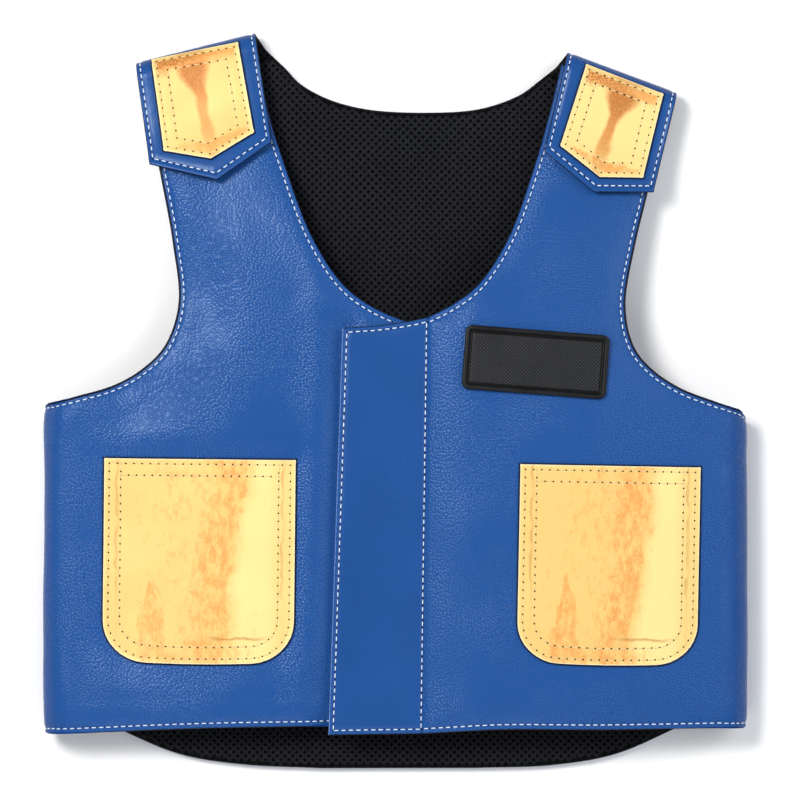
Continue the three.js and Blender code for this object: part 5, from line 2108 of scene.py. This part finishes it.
class VestColours(bpy.types.PropertyGroup):
    """Colours of the finishes."""

    leather: colour_property("Leather", "Blue of the leather", (37, 85, 155))
    # Colour of the painted highlight on the free edge of the flap
    leather_edge: colour_property("Leather edge", "Pale rubbed edge of the flap", (108, 142, 204))
    gold: colour_property("Gold", "Main colour of the gold foil", (232, 194, 115))
    # Pale colour of the foil, also used for its painted highlight
    gold_pale_and_highlight: colour_property("Light gold", "Lightest colour of the gold foil", (240, 213, 140))
    gold_warm: colour_property("Warm gold", "Colour of the streaks in the gold foil", (228, 152, 76))
    # Colour of the painted shade in the creases and at the fold, and of the darker part of the shoulder
    # streak
    gold_crease_shade_and_streak: colour_property("Gold crease", "Colour of the creases in the gold foil", (172, 104, 38))
    mesh: colour_property("Mesh", "Black of the air mesh", (13, 14, 17))
    rubber: colour_property("Rubber", "Black of the badge", (22, 23, 25))
    thread: colour_property("Thread", "White of the stitching", (226, 235, 246))
    gold_thread: colour_property("Gold thread", "Pale thread of the gold patches", (232, 212, 156))
    # Dark painted shade in the needle holes of the leather, also the colour of the dark edges, which are
    # partly edge paint and partly painted shade
    leather_hole: colour_property("Leather holes", "Dark of the needle holes in leather", (16, 24, 48))
    # Dark painted shade of the needle holes in the gold foil
    gold_hole: colour_property("Gold holes", "Dark of the needle holes in gold foil", (44, 36, 20))
    patch_edge: colour_property("Patch edge", "Pale raw edge of the gold patches", (236, 222, 186))
    floor: colour_property("Floor", "Colour of the studio floor", (245, 245, 245))


# Operators


class VestStep:
    """A step that makes pieces with the sizes and colours of the scene."""

    def execute(self, context):
        self.make(context.scene.vest_sizes, context.scene.vest_colours)
        return {"FINISHED"}


class VEST_OT_fronts(VestStep, bpy.types.Operator):
    """Make both padded fronts"""

    bl_idname = "vest.make_fronts"
    bl_label = "Padded fronts"

    def make(self, sizes, colours):
        for side in SIDES.values():
            make_front(side, sizes, colours)


class VEST_OT_flap(VestStep, bpy.types.Operator):
    """Make the closing flap"""

    bl_idname = "vest.make_flap"
    bl_label = "Closing flap"

    def make(self, sizes, colours):
        make_flap(sizes, colours)


class VEST_OT_back(VestStep, bpy.types.Operator):
    """Make the padded back"""

    bl_idname = "vest.make_back"
    bl_label = "Padded back"

    def make(self, sizes, colours):
        make_back(colours)


class VEST_OT_lining(VestStep, bpy.types.Operator):
    """Make the mesh lining of the back"""

    bl_idname = "vest.make_lining"
    bl_label = "Mesh lining"

    def make(self, sizes, colours):
        make_lining(sizes, colours)


class VEST_OT_straps(VestStep, bpy.types.Operator):
    """Make both shoulder straps with their pointed tabs"""

    bl_idname = "vest.make_straps"
    bl_label = "Shoulder straps"

    def make(self, sizes, colours):
        for side in SIDES.values():
            make_strap(side, sizes, colours)


class VEST_OT_gold_patches(VestStep, bpy.types.Operator):
    """Make the gold patches of the chest and the shoulders"""

    bl_idname = "vest.make_gold_patches"
    bl_label = "Gold patches"

    def make(self, sizes, colours):
        for side in SIDES.values():
            make_chest_patch(side, sizes, colours)
            make_shoulder_patch(side, sizes, colours)


class VEST_OT_badge(VestStep, bpy.types.Operator):
    """Make the rubber badge"""

    bl_idname = "vest.make_badge"
    bl_label = "Rubber badge"

    def make(self, sizes, colours):
        make_badge(colours)


class VEST_OT_stitching(VestStep, bpy.types.Operator):
    """Sew the leather edges and the gold patches"""

    bl_idname = "vest.sew_stitching"
    bl_label = "Stitching"

    def make(self, sizes, colours):
        leather = flap_runs() + back_runs()
        gold = []
        for side in SIDES.values():
            leather += front_runs(side, sizes) + strap_runs(side, sizes)
            gold += chest_patch_runs(side) + shoulder_patch_runs(side, sizes)
        white = sewing_thread("white_thread", colours.thread)
        pale = sewing_thread("pale_gold_thread", colours.gold_thread)
        leather_hole = needle_hole("needle_hole_in_leather", colours.leather_hole)
        gold_hole = needle_hole("needle_hole_in_foil", colours.gold_hole)
        sew("leather_edge", "blue_leather", leather, sizes, white, leather_hole)
        sew("gold_patch", "gold_foil_leather", gold, sizes, pale, gold_hole)


class VEST_OT_stage(VestStep, bpy.types.Operator):
    """Set the floor, the light and the camera"""

    bl_idname = "vest.set_stage"
    bl_label = "Stage"

    def make(self, sizes, colours):
        make_stage(colours)


STEPS = (
    VEST_OT_fronts,
    VEST_OT_flap,
    VEST_OT_back,
    VEST_OT_lining,
    VEST_OT_straps,
    VEST_OT_gold_patches,
    VEST_OT_badge,
    VEST_OT_stitching,
    VEST_OT_stage,
)


class VEST_PT_pieces(bpy.types.Panel):
    """Lists the steps that make the vest"""

    bl_idname = "VEST_PT_pieces"
    bl_label = "Bull riding vest"
    bl_space_type = "VIEW_3D"
    bl_region_type = "UI"
    bl_category = "Vest"

    def draw(self, context):
        for step in STEPS:
            self.layout.operator(step.bl_idname)


CLASSES = (VestSizes, VestColours, *STEPS, VEST_PT_pieces)


def register():
    for item in CLASSES:
        bpy.utils.register_class(item)
    bpy.types.Scene.vest_sizes = bpy.props.PointerProperty(type=VestSizes)
    bpy.types.Scene.vest_colours = bpy.props.PointerProperty(type=VestColours)


def unregister():
    del bpy.types.Scene.vest_colours
    del bpy.types.Scene.vest_sizes
    for item in reversed(CLASSES):
        bpy.utils.unregister_class(item)


def main():
    """Makes the vest in order."""
    register()
    bpy.ops.vest.make_fronts()
    bpy.ops.vest.make_flap()
    bpy.ops.vest.make_back()
    bpy.ops.vest.make_lining()
    bpy.ops.vest.make_straps()
    bpy.ops.vest.make_gold_patches()
    bpy.ops.vest.make_badge()
    bpy.ops.vest.sew_stitching()
    bpy.ops.vest.set_stage()


if __name__ == "__main__":
    main()
